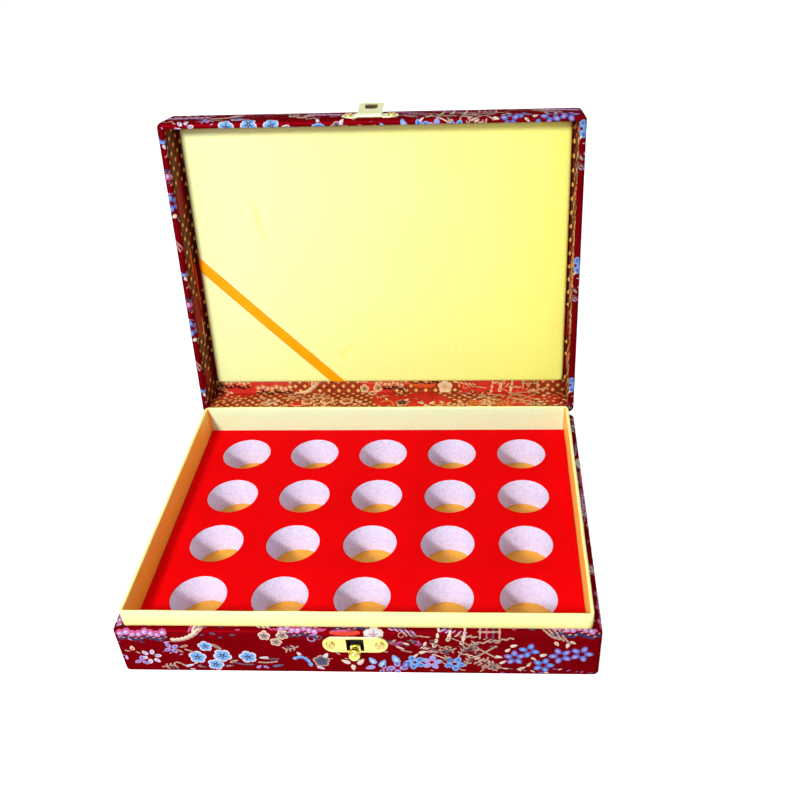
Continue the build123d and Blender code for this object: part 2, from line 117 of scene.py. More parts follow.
class Finish:
    """The surface of a material, or of the room, while its nodes are put together."""

    def __init__(self, name, kept_with=bpy.data.materials):
        self.owner = kept_with.new(name)
        self.owner.use_nodes = True
        self.tree = self.owner.node_tree
        self.tree.nodes.clear()

    def node(self, kind, settings=None, inputs=()):
        """Adds one node with its settings, then its inputs by place or name, and gives its first output."""
        made = self.tree.nodes.new(kind)
        for key, value in (settings or {}).items():
            if key == "stops":
                ramp = made.color_ramp.elements
                while len(ramp) < len(value):
                    ramp.new(0.5)
                for stop, (place, colour) in zip(ramp, value):
                    stop.position = place
                    stop.color = (*colour, 1)
            else:
                setattr(made, key, value)
        for key, value in inputs.items() if isinstance(inputs, dict) else enumerate(inputs):
            socket = made.inputs[key]
            if isinstance(value, Shade):
                self.tree.links.new(value.socket, socket)
            elif isinstance(value, tuple) and len(socket.default_value) == 4:
                socket.default_value = (*value, 1)
            else:
                socket.default_value = value
        return Shade(self, made.outputs[0]) if made.outputs else None

    def mixed(self, share, first, second):
        """Two colours mixed, from all of the first at 0 to all of the second at 1."""
        return self.node("ShaderNodeMix", {"data_type": "RGBA"}, {0: share, 6: first, 7: second}).output(2)

    def solid(self):
        """The place in the piece itself, in metres."""
        return self.node("ShaderNodeTexCoord").output(3)

    def weave(self):
        """The place in the flat cloth: all of it, then along it and up it, in metres."""
        where = self.node("ShaderNodeUVMap", {"uv_map": "weave"})
        along = self.apart(where)
        return where, along, along.output(1)

    def apart(self, where):
        return self.node("ShaderNodeSeparateXYZ", {}, (where,))

    def grain(self, where, scale, detail=2.0, stretch=(1, 1, 1)):
        """Soft irregular variation between 0 and 1; the scale is in spots per metre."""
        spread = self.node("ShaderNodeMapping", {}, {"Vector": where, "Scale": stretch})
        return self.node("ShaderNodeTexNoise", {}, {"Vector": spread, "Scale": scale, "Detail": detail})

    def relief(self, height, depth, strength=1.0):
        """Relief from a height between 0 and 1, of that depth in metres."""
        return self.node("ShaderNodeBump", {}, {"Strength": strength, "Distance": depth, "Height": height})

    def surface(self, sockets):
        """Ends a material in one surface and gives the material."""
        skin = self.node("ShaderNodeBsdfPrincipled", {}, sockets)
        self.node("ShaderNodeOutputMaterial", {}, {"Surface": skin})
        return self.owner


def seen_by_camera_or_mirror(finish):
    ray = finish.node("ShaderNodeLightPath")
    return (ray + ray.output(3) + ray.output(6)) > 0.5


mm = 0.001
scene = bpy.context.scene
scene.view_settings.view_transform = "Standard"
floor_level, floor_size = -0.2 * mm, 8

floor_work = bmesh.new()
floor_place = Matrix.Translation((0, 0, floor_level))
bmesh.ops.create_grid(floor_work, x_segments=2, y_segments=2, size=floor_size, matrix=floor_place)
floor_mesh = bpy.data.meshes.new("floor")
floor_work.to_mesh(floor_mesh)
floor = bpy.data.objects.new("floor", floor_mesh)
scene.collection.objects.link(floor)

floor_finish = Finish("floor")
white_card = floor_finish.node("ShaderNodeBsdfDiffuse", {}, {"Color": (0.86, 0.86, 0.86)})
lift = floor_finish.node("ShaderNodeEmission", {}, {"Color": (1.0, 1.0, 1.0), "Strength": 0.8})
lifted = floor_finish.node("ShaderNodeAddShader", {}, (white_card, lift))
in_sight = seen_by_camera_or_mirror(floor_finish)
floor_look = floor_finish.node("ShaderNodeMixShader", {}, (in_sight, white_card, lifted))
floor_finish.node("ShaderNodeOutputMaterial", {}, {"Surface": floor_look})
floor_mesh.materials.append(floor_finish.owner)

room = Finish("room", bpy.data.worlds)
daylight = room.node("ShaderNodeBackground", {}, {"Color": (1.0, 1.0, 1.0), "Strength": 0.33})
backdrop = room.node("ShaderNodeBackground", {}, {"Color": (1.0, 1.0, 1.0), "Strength": 1.0})
room_look = room.node("ShaderNodeMixShader", {}, (seen_by_camera_or_mirror(room), daylight, backdrop))
room.node("ShaderNodeOutputWorld", {}, {"Surface": room_look})
scene.world = room.owner


def soft_lamp(name, place, width, depth, watts):
    """A soft rectangular lamp, turned to the middle of the box."""
    lamp = bpy.data.objects.new(name, bpy.data.lights.new(name, "AREA"))
    lamp.data.shape = "RECTANGLE"
    lamp.data.size = width
    lamp.data.size_y = depth
    lamp.data.energy = watts
    scene.collection.objects.link(lamp)
    lamp.location = place
    lamp.rotation_euler = (Vector((0, 0, 0.06)) - Vector(place)).to_track_quat("-Z", "Y").to_euler()


soft_lamp("key_lamp", (-0.34, -0.745, 0.693), 0.15, 0.15, 11)
soft_lamp("top_lamp", (0.2, -0.1, 1.5), 0.8, 0.8, 4)


# Boards of the base and the lid, and the paper underneath: grey bookbinding board cut to size and glued,
# and a dull red sheet of lining paper that covers the hems of the cloth.
def dressed(finish, *nodes):
    """Gives CAD pieces whose shape is right their real finish."""
    for node in nodes:
        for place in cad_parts[node].material_slots:
            place.material = finish


# Extent of the painted shade in the hollow behind the catch, in metres.
shade_half_width, shade_half_height, shade_level, front_inside = 4.6 * mm, 4.4 * mm, 24 * mm, -94.5 * mm


def toned(colour, share):
    """A darker tone of a colour."""
    return tuple(share * part for part in colour)


def pressed_fibres(name, colour, fleck, depth):
    """Board or paper: a matt, slightly cloudy colour with short fibres pressed into it. Behind the catch, as
    far as its cloth is cut away for the spring tongue, the board is painted near black, as painted shade in
    the hollow."""
    finish = Finish(name)
    where = finish.solid()
    cloudy = finish.grain(where, 60.0, 4.0)
    fibres = finish.grain(where, 900.0, 3.0, (1.0, 0.25, 1.0))
    body = finish.mixed(cloudy, toned(colour, 0.82), colour)
    spot = finish.apart(where)
    beside, above = abs(spot) < shade_half_width, abs(spot.output(2) - shade_level) < shade_half_height
    # Painted shade: near black over the hollow behind the catch, where shade falls.
    recess_shade = beside * above * (spot.output(1) < front_inside)
    body = finish.mixed(recess_shade, body, tint(20, 20, 12))
    return finish.surface({
        "Base Color": finish.mixed((fibres > 0.62) * 0.5 * (1 - recess_shade), body, fleck),
        "Roughness": 0.75 + 0.2 * fibres,
        "Normal": finish.relief(fibres, depth),
        "Specular IOR Level": 0.3,
    })


grey_board = pressed_fibres("grey_board", tint(176, 168, 154), tint(120, 112, 102), 0.05 * mm)
backing_paper = pressed_fibres("backing_paper", tint(150, 42, 40), tint(196, 92, 80), 0.03 * mm)
dressed(
    grey_board,
    "base_bottom_board", "base_front_wall", "base_back_wall", "base_left_wall", "base_right_wall",
    "collar_front", "collar_back", "collar_left", "collar_right", "panel_card",
    "lid_top_board", "lid_front_wall", "lid_back_wall", "lid_left_wall", "lid_right_wall",
)
dressed(backing_paper, "base_bottom_paper")

# Brocade on the base: one strip of dark red satin cloth, glued round the walls, turned down inside the rim
# and hemmed under the floor. It is cut away behind the catch, where the spring tongue gives.
box_half_depth = 98.5


def leg_length(radius, reach):
    return radius * radians(reach) if radius else reach


def walked(path, distance):
    """Where a path has got to after that distance, and its heading there. A path is its start, its first
    heading and its legs: 0 and a length for a straight leg, or a radius and degrees for a left turn."""
    x, y, heading, legs = path
    for radius, reach in legs:
        part = min(distance, leg_length(radius, reach))
        if radius:
            turned = heading + part / radius
            x += radius * (sin(turned) - sin(heading))
            y += radius * (cos(heading) - cos(turned))
            heading = turned
        else:
            x += part * cos(heading)
            y += part * sin(heading)
        distance -= part
        if distance <= 0:
            break
    return x, y, heading


def path_length(path):
    return sum(leg_length(radius, reach) for radius, reach in path[3])


def stations(path, step, per_turn=5):
    """Distances along a path where a flat cloth is divided, close together where it will bend."""
    marks, at = [0.0], 0.0
    for radius, reach in path[3]:
        length = leg_length(radius, reach)
        pieces = per_turn if radius else max(1, round(length / step))
        marks += [at + length * piece / pieces for piece in range(1, pieces + 1)]
        at += length
    return marks


def marked_with_weave(cloth):
    """Keeps the flat cloth's own coordinates, in metres, before it is laid on the box."""
    weave = cloth.loops.layers.uv.new("weave")
    for face in cloth.faces:
        for loop in face.loops:
            loop[weave].uv = loop.vert.co.xy * mm
    return cloth


def flat_cloth(across, along):
    """A flat cloth in millimetres, divided across and along at those distances."""
    cloth = bmesh.new()
    bmesh.ops.create_grid(cloth, x_segments=len(across) - 1, y_segments=len(along) - 1, size=0.5)
    for vert in cloth.verts:
        vert.co.x = across[round((vert.co.x + 0.5) * (len(across) - 1))]
        vert.co.y = along[round((vert.co.y + 0.5) * (len(along) - 1))]
    return marked_with_weave(cloth)


def cut_at(work, axis, marks, keep_below=None, keep_above=None):
    """Divides a flat cloth, or the floats on it, at those distances, and trims them at the cloth's edges."""
    way = Vector((axis == "x", axis == "y", 0))
    cuts = [(mark, False, False) for mark in marks] + [(keep_below, True, False), (keep_above, False, True)]
    for mark, outer, inner in cuts:
        if mark is not None:
            bmesh.ops.bisect_plane(
                work, geom=work.verts[:] + work.edges[:] + work.faces[:], dist=0.0001,
                plane_co=way * mark, plane_no=way, clear_outer=outer, clear_inner=inner,
            )


def laid(cloth, place):
    """Lays a flat cloth, or what is woven on it, where the given place function puts each of its points."""
    for vert in cloth.verts:
        vert.co = place(vert.co) * mm
    bmesh.ops.remove_doubles(cloth, verts=cloth.verts, dist=0.001 * mm)


def piece(name, work, finishes, body, sharp=40):
    """Turns a finished mesh into a named piece that moves with its body."""
    mesh = bpy.data.meshes.new(name)
    work.to_mesh(mesh)
    work.free()
    mesh.polygons.foreach_set("use_smooth", [True] * len(mesh.polygons))
    mesh.set_sharp_from_angle(angle=radians(sharp))
    for finish in finishes:
        mesh.materials.append(finish)
    made = bpy.data.objects.new(name, mesh)
    scene.collection.objects.link(made)
    if body:
        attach(made, body)
    return made


def thickened(made, thickness, offset=-1.0):
    cloth = made.modifiers.new("thickness", "SOLIDIFY")
    cloth.thickness = thickness * mm
    cloth.offset = offset
    return made


def glued_cloth(name, cloth, place, finish, body, thickness, sharp=40):
    """A flat cloth laid in its place as a piece, with its thickness."""
    laid(cloth, place)
    return thickened(piece(name, cloth, [finish], body, sharp), thickness)


def ring_place(outline, profile, half_depth, spot):
    """Takes a point of a flat strip to a ring round the box. Its first length runs along the outline, from
    the middle of the front, its second along the profile, and its height stands off the surface."""
    x, y, heading = walked(outline, abs(spot.x))
    side = copysign(1.0, spot.x)
    away, up, rise = walked(profile, spot.y)
    away += sin(rise) * spot.z
    placed = Vector((x + sin(heading) * away, y - half_depth - cos(heading) * away, up - cos(rise) * spot.z))
    half_width = walked(outline, path_length(outline) / 2)[0]
    if away < -0.001:
        placed.x = min(placed.x, half_width + away)
        placed.y = max(min(placed.y, half_depth + away), -half_depth - away)
    placed.x *= side
    return placed


def both_ways(marks):
    return [-mark for mark in reversed(marks[1:])] + marks


base_outline = (0.0, 0.0, 0.0, [(0, 126.5), (3.5, 90), (0, 190), (3.5, 90), (0, 126.5)])
hem, foot_radius = 13.2, 0.8
base_profile = (
    -14.0, 0.5, 0.0, [(0, hem), (foot_radius, 90), (0, 29.3), (2.4, 90), (0, 1.0), (1.1, 90), (0, 10.9)],
)
wall_foot = hem + foot_radius * pi / 2 - 1.3


def on_base(spot):
    return ring_place(base_outline, base_profile, box_half_depth, spot)


def woven_ground(name, colour, deep, gloss):
    """Satin ground of a brocade: a cloudy colour, diagonal binding points and fine raised threads."""
    finish = Finish(name)
    where, along, up = finish.weave()
    along, up = along * 1000, up * 1000
    threads = (along * (2 * pi / 0.42)).ripple()
    binding = ((along + up * 1.6) * (2 * pi / 1.1)).ripple()
    cloudy = finish.grain(where, 90.0, 3.0)
    body = finish.mixed(cloudy, deep, colour)
    points = (binding > 0.86) * 0.45
    return finish.surface({
        "Base Color": finish.mixed(points + threads * 0.12, body, toned(deep, 0.45)),
        "Roughness": gloss + 0.12 * cloudy,
        "Normal": finish.relief(threads * 0.5 + binding * 0.5, 0.05 * mm, 0.6),
        "Metallic": 0.25,
        "Specular IOR Level": 0.0,
        "Specular Tint": tint(180, 60, 70),
    })


brocade_red = woven_ground("brocade_red", tint(126, 5, 14), tint(94, 0, 7), 0.32)
base_cover = flat_cloth(both_ways(stations(base_outline, 12)), stations(base_profile, 6))
recess_half_width, recess_foot, recess_top = 4.4, 19.8 + wall_foot, 28.2 + wall_foot
cut_at(base_cover, "x", (-recess_half_width, recess_half_width))
cut_at(base_cover, "y", (recess_foot, recess_top))
middles = {face: face.calc_center_median() for face in base_cover.faces}
cut_out = [
    face for face, middle in middles.items()
    if abs(middle.x) < recess_half_width and recess_foot < middle.y < recess_top
]
bmesh.ops.delete(base_cover, geom=cut_out, context="FACES")
base_cover = glued_cloth("base_brocade", base_cover, on_base, brocade_red, "base", 0.5)
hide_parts("base_brocade_cover")

# Blossoms of the brocade: plum-blossom sprays, cloud scrolls, tassels and leaf sprigs, woven into the cloth
# as floats of blue, white, lavender, pink and tan yarn. They stand about a tenth of a millimetre above the
# satin ground.
yarn_colours = {
    "white": tint(214, 210, 228),
    "sky": tint(116, 170, 230),
    "blue": tint(84, 110, 198),
    "navy": tint(40, 42, 88),
    "lavender": tint(182, 146, 206),
    "pink": tint(190, 84, 138),
    "cream": tint(226, 204, 182),
    "tan": tint(186, 152, 138),
    "slate": tint(88, 80, 104),
    "coral": tint(214, 60, 42),
}
yarn_names = list(yarn_colours)


def yarn(name, colour):
    """Twisted yarn floats: fine bright ridges side by side, a little uneven in dye."""
    finish = Finish(name)
    where, _, up = finish.weave()
    ridges = (up * (2000 * pi / 0.38)).ripple()
    uneven = finish.grain(where, 420.0, 2.0)
    body = finish.mixed(uneven, toned(colour, 0.72), colour)
    return finish.surface({
        "Base Color": finish.mixed(ridges * 0.3, body, toned(colour, 0.55)),
        "Roughness": 0.42 + 0.15 * uneven,
        "Normal": finish.relief(ridges, 0.05 * mm, 0.6),
        "Specular IOR Level": 0.1,
    })


yarns = [yarn(f"yarn_{name}", colour) for name, colour in yarn_colours.items()]


def float_patch(work, name, at, size, turn=0.0, level=1, sides=8, taper=0.0):
    """One patch of floats: as long and wide as its size, turned in degrees, raised by its level."""
    made = bmesh.ops.create_cone(
        work, cap_ends=True, segments=sides, radius1=0.5, radius2=0.43, depth=1.0,
    )["verts"]
    for vert in made:
        vert.co.y *= 1 - taper * (0.5 + vert.co.x)
    place = (
        Matrix.Translation((at[0], at[1], 0.03 * level + 0.005))
        @ Matrix.Rotation(radians(turn), 4, "Z")
        @ Matrix.Diagonal((size[0], size[1], 0.06 * level, 1))
    )
    bmesh.ops.transform(work, matrix=place, verts=made)
    for face in {face for vert in made for face in vert.link_faces}:
        face.material_index = yarn_names.index(name)


def spoke(at, reach, turn):
    return at[0] + reach * cos(radians(turn)), at[1] + reach * sin(radians(turn))


def blossom(work, at, radius, turn, edge="white", petal="sky", heart="navy"):
    """A round plum blossom: five petals in two colours, with a dark heart and five fine rays."""
    for step in range(5):
        way = turn + 72 * step
        float_patch(work, edge, spoke(at, 0.52 * radius, way), (1.02 * radius, 1.0 * radius), way)
        float_patch(work, petal, spoke(at, 0.5 * radius, way), (0.74 * radius, 0.7 * radius), way, 2)
        float_patch(work, heart, spoke(at, 0.34 * radius, way), (0.42 * radius, 0.16 * radius), way, 3, 6)
    float_patch(work, heart, at, (0.5 * radius, 0.46 * radius), turn, 3)
    float_patch(work, edge, at, (0.16 * radius, 0.16 * radius), turn, 4, 6)


def loose_flower(work, at, radius, petals, size, turn, outer="lavender", inner="blue"):
    """An open flower whose petals stand apart round an empty heart."""
    length, width = size
    for step in range(petals):
        way = turn + 360 * step / petals
        petal = spoke(at, 1.05 * radius, way)
        float_patch(work, outer, petal, (1.16 * length, 1.2 * width), way, 1, 8, 0.25)
        float_patch(work, inner, spoke(at, 1.1 * radius, way), (0.66 * length, 0.62 * width), way, 2, 6)


def leaf(work, at, length, width, turn, outer="tan", inner="slate"):
    float_patch(work, outer, at, (1.1 * length, 1.25 * width), turn, 1, 8, 0.6)
    float_patch(work, inner, spoke(at, -0.08 * length, turn), (0.7 * length, 0.56 * width), turn, 2, 6, 0.6)


def strand(work, name, start, middle, end, width, parts=6, level=1):
    """A bent line of short floats, from start to end by way of the middle."""
    points = []
    for step in range(parts + 1):
        share = step / parts
        points.append(Vector([
            (1 - share) ** 2 * a + 2 * share * (1 - share) * b + share ** 2 * c
            for a, b, c in zip(start, middle, end)
        ]))
    for first, second in zip(points, points[1:]):
        run = second - first
        turn = Vector((1, 0)).angle_signed(run) * -180 / pi
        float_patch(work, name, (first + second) / 2, (run.length * 1.25, 0.35 + 1.3 * width), turn, level, 6)


def cloud(work, start, lumps, pitch, rise):
    """A cloud scroll: a row of swelling lumps over a dark scalloped line."""
    for step in range(lumps):
        x, y = start[0] + step * pitch, start[1] + rise * step + 0.9 * sin(step * 1.9)
        float_patch(work, "pink", (x, y), (1.5 * pitch, 1.35 * pitch), 20 * step)
        float_patch(work, "lavender", (x + 0.2, y - 0.5), (1.05 * pitch, 0.85 * pitch), 20 * step, 2)
        float_patch(work, "white", (x - 0.3, y - 0.1), (0.5 * pitch, 0.3 * pitch), 25, 3, 6)
        float_patch(work, "navy", (x, y - 1.25 * pitch), (1.15 * pitch, 0.7 * pitch))
        float_patch(work, "tan", (x + 0.4 * pitch, y - 1.0 * pitch), (0.6 * pitch, 0.26 * pitch), 15, 2, 6)


def curl(work, at, radius, turn, name):
    """A small spiral of one yarn."""
    for step in range(9):
        way = turn + 42 * step
        reach = radius * (1 - 0.085 * step)
        float_patch(work, name, spoke(at, reach, way), (0.62 * radius, 0.26 * radius), way + 90, 1, 6)


def tassel(work, top, foot, lean):
    """A white hanging drop on a thin cord, swelling to its foot."""
    for step in range(5):
        share = step / 4
        x = top[0] + (foot[0] - top[0]) * share + lean * sin(pi * share)
        y = top[1] + (foot[1] - top[1]) * share
        turn = 90 + 25 * (share - 0.5) * copysign(1, -lean)
        float_patch(work, "cream", (x, y), (3.6, 1.0 + 1.5 * share), turn)
    float_patch(work, "slate", foot, (1.6, 1.1), 90, 2, 6)


def sprig(work, at, length, turn):
    """A twig with three pairs of small leaves."""
    far = spoke(at, length, turn)
    strand(work, "tan", at, spoke(at, length * 0.55, turn + 9), far, 0.55, 4)
    for step in range(3):
        foot = spoke(at, length * (0.3 + 0.3 * step), turn)
        for way, name in ((turn + 55, "tan"), (turn - 55, "slate" if step % 2 else "tan")):
            float_patch(work, name, spoke(foot, 1.5, way), (3.0, 1.5), way, 1, 6, 0.4)


def ripples(work, left, right, low, high, count, names, size):
    """Short broken floats, such as water and rocks are drawn with, spread evenly over an area."""
    for step in range(count):
        at = (left + (right - left) * (0.618 * step % 1), low + (high - low) * (0.755 * step % 1))
        grown = size * (0.75 + 0.5 * (0.37 * step % 1))
        name, turn = names[step % len(names)], 37 * sin(2.4 * step)
        float_patch(work, name, at, (2.3 * grown, 0.8 * grown), turn, 1, 6, 0.3)


repeat_length, repeat_height = 260.0, 42.0


def repeat_of_pattern():
    """One repeat of the pattern, as it lies on the front of the base: along it from the middle, and up it."""
    work = bmesh.new()
    for row in (
        ((-87, 12.3), 5.0, 10), ((-73.1, 13.7), 5.2, 50), ((-59.3, 12.8), 5.0, 30),
        ((-81.3, 21.2), 4.1, 20), ((-78, 6.3), 4.6, 0),
    ):
        blossom(work, *row)
    for row in (((-48, 29.9), 3.4, 15), ((-38.3, 30.5), 3.4, 40), ((-42.2, 25.2), 3.3, 0)):
        blossom(work, *row, "cream", "tan")
    blossom(work, (-19.5, 10.0), 4.8, 20, "tan", "slate")
    blossom(work, (10.2, 31.2), 5.4, 90, "cream", "white", "tan")
    for row in (
        ((-93, 21), 5, 2.0, 200), ((-75, 20.8), 6, 2.4, -38), ((-67.6, 9.0), 5, 2.2, 25),
        ((-50.6, 12.2), 5, 2.4, 180, "white", "tan"), ((-45.3, 11.2), 6, 1.8, 4, "slate", "navy"),
        ((-92.6, 5.2), 5, 2.2, 20, "white", "sky"), ((-86.6, 4.6), 4, 1.8, -15, "slate", "tan"),
        ((-70.6, 5.2), 5, 2.0, 8, "slate", "tan"), ((-54.4, 4.6), 3.2, 2.2, 40, "lavender", "blue"),
        ((-50.4, 4.4), 3.2, 2.2, -30, "lavender", "blue"), ((-43.6, 5.8), 6.4, 2.2, 14, "slate", "blue"),
        ((-96.6, 17.6), 5.6, 1.8, -28), ((-81.2, 30.4), 3, 1.5, 20, "navy", "slate"),
        ((-75.4, 31.2), 3.2, 1.6, -10, "slate", "navy"), ((-71.6, 28.6), 3, 1.5, 30, "navy", "slate"),
        ((-64.8, 30.4), 3.2, 1.7, 0, "slate", "navy"), ((-31.2, 15.8), 3.0, 2.4, 120, "white", "white"),
        ((-16.6, 14.6), 4.0, 2.8, 60, "white", "white"), ((-20.4, 4.4), 4.4, 2.6, -30, "white", "tan"),
        ((-6.3, 9.6), 5.2, 3.2, 150, "cream", "white"), ((1.9, 9.7), 5.6, 3.4, 55, "cream", "white"),
        ((-2.6, 4.8), 4.6, 3.0, -90, "cream", "white"), ((8.2, 10.6), 5.6, 4.2, 120, "sky", "white"),
        ((6.6, 5.0), 5.4, 3.8, 200, "lavender", "sky"), ((13.6, 8.4), 6.4, 4.2, 65, "sky", "white"),
        ((20.8, 12.0), 7.0, 4.8, 110, "sky", "white"), ((26.0, 7.0), 6.6, 4.4, 250, "blue", "lavender"),
        ((35.6, 18.0), 4.2, 2.6, 20, "cream", "white"), ((31.6, 15.0), 4.8, 1.8, 50, "cream", "white"),
        ((-121.6, 19.2), 3.4, 3.0, 90, "cream", "coral"),
        ((-126.4, 11.5), 3.6, 2.0, 90, "lavender", "white"),
        ((83.9, 23.7), 3.8, 2.6, 20, "cream", "white"), ((80.8, 20.2), 3.4, 2.4, 45, "cream", "white"),
        ((76.1, 14.7), 3.8, 2.4, -15, "cream", "white"), ((78.3, 10.4), 4.2, 2.2, 35, "cream", "white"),
        ((99.6, 16.4), 3.8, 2.8, 20, "cream", "white"), ((94.6, 13.4), 3.6, 1.8, -40, "cream", "tan"),
        ((92.2, 8.8), 4.4, 2.2, 60, "tan", "cream"), ((88.4, 5.6), 4.4, 2.2, 30, "cream", "tan"),
        ((106.3, 25.6), 3.6, 2.4, -60, "cream", "tan"), ((112.0, 24.2), 3.8, 2.4, -100, "cream", "white"),
        ((114.6, 26.6), 3.4, 2.2, -30, "cream", "tan"),
    ):
        leaf(work, *row)
    for row in (
        ((-112.6, 12.2), 3.9, 6, (3.6, 2.6), 12, "white", "lavender"),
        ((-118.6, 8.8), 2.2, 3, (3.6, 2.4), 80), ((-100.0, 19.4), 2.5, 4, (3.6, 2.6), 30),
        ((21.4, 4.8), 3.2, 4, (4.0, 3.4), 0), ((31.0, 9.6), 3.2, 5, (4.4, 3.8), 40, "sky", "blue"),
        ((40.2, 9.8), 3.3, 5, (4.4, 3.6), 10, "lavender", "sky"),
        ((52.4, 8.8), 3.4, 5, (4.4, 3.8), 60, "sky", "blue"),
        ((84.4, 14.2), 3.4, 5, (4.2, 3.4), 20, "blue", "lavender"),
        ((92.0, 20.0), 3.2, 4, (4.2, 3.4), 75, "blue", "sky"),
        ((99.8, 8.2), 3.5, 5, (4.2, 3.5), 0, "blue", "sky"),
        ((108.6, 16.0), 3.7, 5, (4.4, 3.4), 40, "blue", "lavender"),
        ((119.6, 17.6), 3.7, 5, (4.4, 3.4), 70, "blue", "lavender"),
        ((14.6, 3.6), 2.2, 3, (3.2, 2.4), 100, "lavender", "navy"),
    ):
        loose_flower(work, *row)
    for row in (
        ((-125.5, 31.2), 8, 3.3, 0.0), ((-39.0, 34.6), 7, 3.0, -0.1), ((105.0, 36.4), 8, 3.2, -0.15),
        ((-10.0, 37.6), 6, 3.0, 0.2),
    ):
        cloud(work, *row)
    for row in (
        ("sky", (-34.6, 11.4), (-27.4, 16.8), (-25.4, 5.6), 1.7),
        ("blue", (-33.4, 11.6), (-27.9, 14.8), (-26.4, 7.0), 0.5, 5, 2),
        ("cream", (-99, 26.6), (-89, 25.6), (-82.5, 35.5), 1.7, 7),
        ("tan", (-99, 25.2), (-88.6, 24.4), (-81, 34.5), 0.7, 7),
        ("tan", (-93, 18.6), (-90, 17.6), (-87.5, 15.5), 0.7, 4),
        ("slate", (-67, 8.0), (-64, 6.0), (-57, 6.6), 0.8, 5),
        ("tan", (-54.4, 8.6), (-49, 7.4), (-43.5, 9.4), 0.7, 5),
    ):
        strand(work, *row)
    for step, name in enumerate(("tan", "cream", "tan", "pink", "tan")):
        leaf(work, (-121.5 + 5.2 * step, 37.6 + (step % 2)), 4.4, 2.8, 70 + 25 * step, name)
    for step, name in enumerate(("pink", "cream", "lavender", "tan")):
        float_patch(work, name, (-87.6 + 1.9 * step, 34.6 + 0.5 * step), (6.4, 1.5), 74)
    curl(work, (-22.5, 27.8), 3.4, 30, "lavender")
    curl(work, (-19.0, 29.4), 2.5, 150, "slate")
    float_patch(work, "coral", (-5.0, 32.4), (17, 3.8), 0, 1, 10)
    float_patch(work, "pink", (-7.0, 33.3), (12, 0.9), 0, 2, 6)
    for step in range(6):
        x, y = 20.5 + 3.3 * step, 26.6 - 1.0 * (step % 3)
        float_patch(work, ("tan", "pink", "cream")[step % 3], (x, y), (3.8, 1.6), 40 - 30 * step)
        float_patch(work, "slate", (x + 0.8, y - 1.4), (2.6, 0.9), -30 + 25 * step, 2, 6)
    curl(work, (25.0, 30.8), 2.6, 0, "tan")
    curl(work, (31.4, 31.2), 2.4, 120, "slate")
    tassel(work, (44.6, 38.5), (42.0, 23.4), 0.6)
    tassel(work, (50.6, 38.5), (49.4, 28.4), 0.5)
    tassel(work, (58.2, 38.5), (56.6, 25.8), 0.6)
    for step, name in enumerate(("tan", "pink", "slate", "tan")):
        x = 66 + 3.4 * step
        strand(work, name, (x, 39), (66.4 + 3.4 * step, 34), (x, 29), 0.7, 4)
    strand(work, "tan", (65, 33.5), (71, 33.2), (77, 33.6), 0.6, 5)
    strand(work, "tan", (62.9, 23.4), (69, 18), (75.1, 13.6), 0.8, 8)
    strand(work, "tan", (75.0, 23.6), (69, 18.6), (62.8, 13.4), 0.8, 8)
    for step in range(5):
        x, y = 64 + 4 * step, 24.4 + 0.9 * step
        strand(work, "tan", (x, y), (x + 1.5, y + 3.4), (x + 4, y + 0.9), 0.8, 3)
    for row in (
        ((42, 17.5), 9, 22), ((44.5, 22.4), 8, -20), ((54.5, 14.2), 9, 62), ((58.6, 24.8), 8, -42),
        ((58.2, 6.8), 8, 70), ((63, 9.6), 8, 20), ((67, 4.8), 8, 35), ((72, 9.8), 6, -50),
        ((47, 15.8), 6, -60), ((-108.5, 3.6), 8, 12), ((-30.5, 21.8), 8, 200), ((62.4, 19.4), 7, 80),
    ):
        sprig(work, *row)
    for step in range(4):
        x = 96.5 + 2.9 * step
        strand(work, "tan", (x, 39.5), (x + 2.6, 33.6), (x + 9.4 - 0.8 * step, 29.6 - 0.9 * step), 0.75, 8)
    for row in (
        (-62, -14, 33.5, 40, 26, ("pink", "tan", "slate", "cream"), 1.7),
        (14, 66, 30, 40, 40, ("tan", "pink", "slate", "lavender"), 1.6),
        (84, 104, 35, 40, 8, ("pink", "slate", "tan"), 1.6),
        (-80, -62, 35, 40, 7, ("pink", "navy", "coral"), 1.5),
        (16, 42, 18, 29, 22, ("tan", "slate", "pink", "cream"), 1.7),
        (40, 76, 3, 30, 54, ("tan", "tan", "slate", "cream"), 1.35),
        (-100, -82, 2, 9, 7, ("slate", "white", "tan"), 1.5), (-14, 4, 12, 20, 6, ("tan", "slate"), 1.2),
        (-128, -100, 24, 29, 9, ("slate", "navy", "lavender"), 1.5),
        (78, 128, 2, 6, 14, ("blue", "cream", "slate"), 1.3),
        (-128, -90, 13, 18, 7, ("lavender", "slate", "tan"), 1.3),
    ):
        ripples(work, *row)
    repeat = bpy.data.meshes.new("repeat_of_pattern")
    work.to_mesh(repeat)
    work.free()
    return repeat


pattern = repeat_of_pattern()


def repeats(places):
    """Sets the pattern's repeat down at each place of a flat cloth."""
    work = bmesh.new()
    for x, y in places:
        before = len(work.verts)
        work.from_mesh(pattern)
        work.verts.ensure_lookup_table()
        bmesh.ops.translate(work, verts=work.verts[before:], vec=(x, y, 0))
    return work


def turn_marks(path, sides=(1,)):
    """Distances where a path begins, crosses and ends its turns."""
    marks, at = [], 0.0
    for radius, reach in path[3]:
        length = leg_length(radius, reach)
        if radius:
            marks += [at + length * share / 4 for share in range(5)]
        at += length
    return [side * mark for side in sides for mark in marks]


def woven_in(name, floats, place, colours, body):
    """The floats of a cloth, laid with it as a piece."""
    marked_with_weave(floats)
    laid(floats, place)
    return piece(name, floats, colours, body, 30)


base_floats = repeats([(repeat_length * step, wall_foot) for step in range(-2, 3)])
strip_half, inside_margin = path_length(base_outline), 6
cut_at(base_floats, "x", turn_marks(base_outline, (-1, 1)), strip_half, -strip_half)
cut_at(base_floats, "y", turn_marks(base_profile), path_length(base_profile) - inside_margin)
base_floats = woven_in("base_blossoms", base_floats, on_base, yarns, "base")

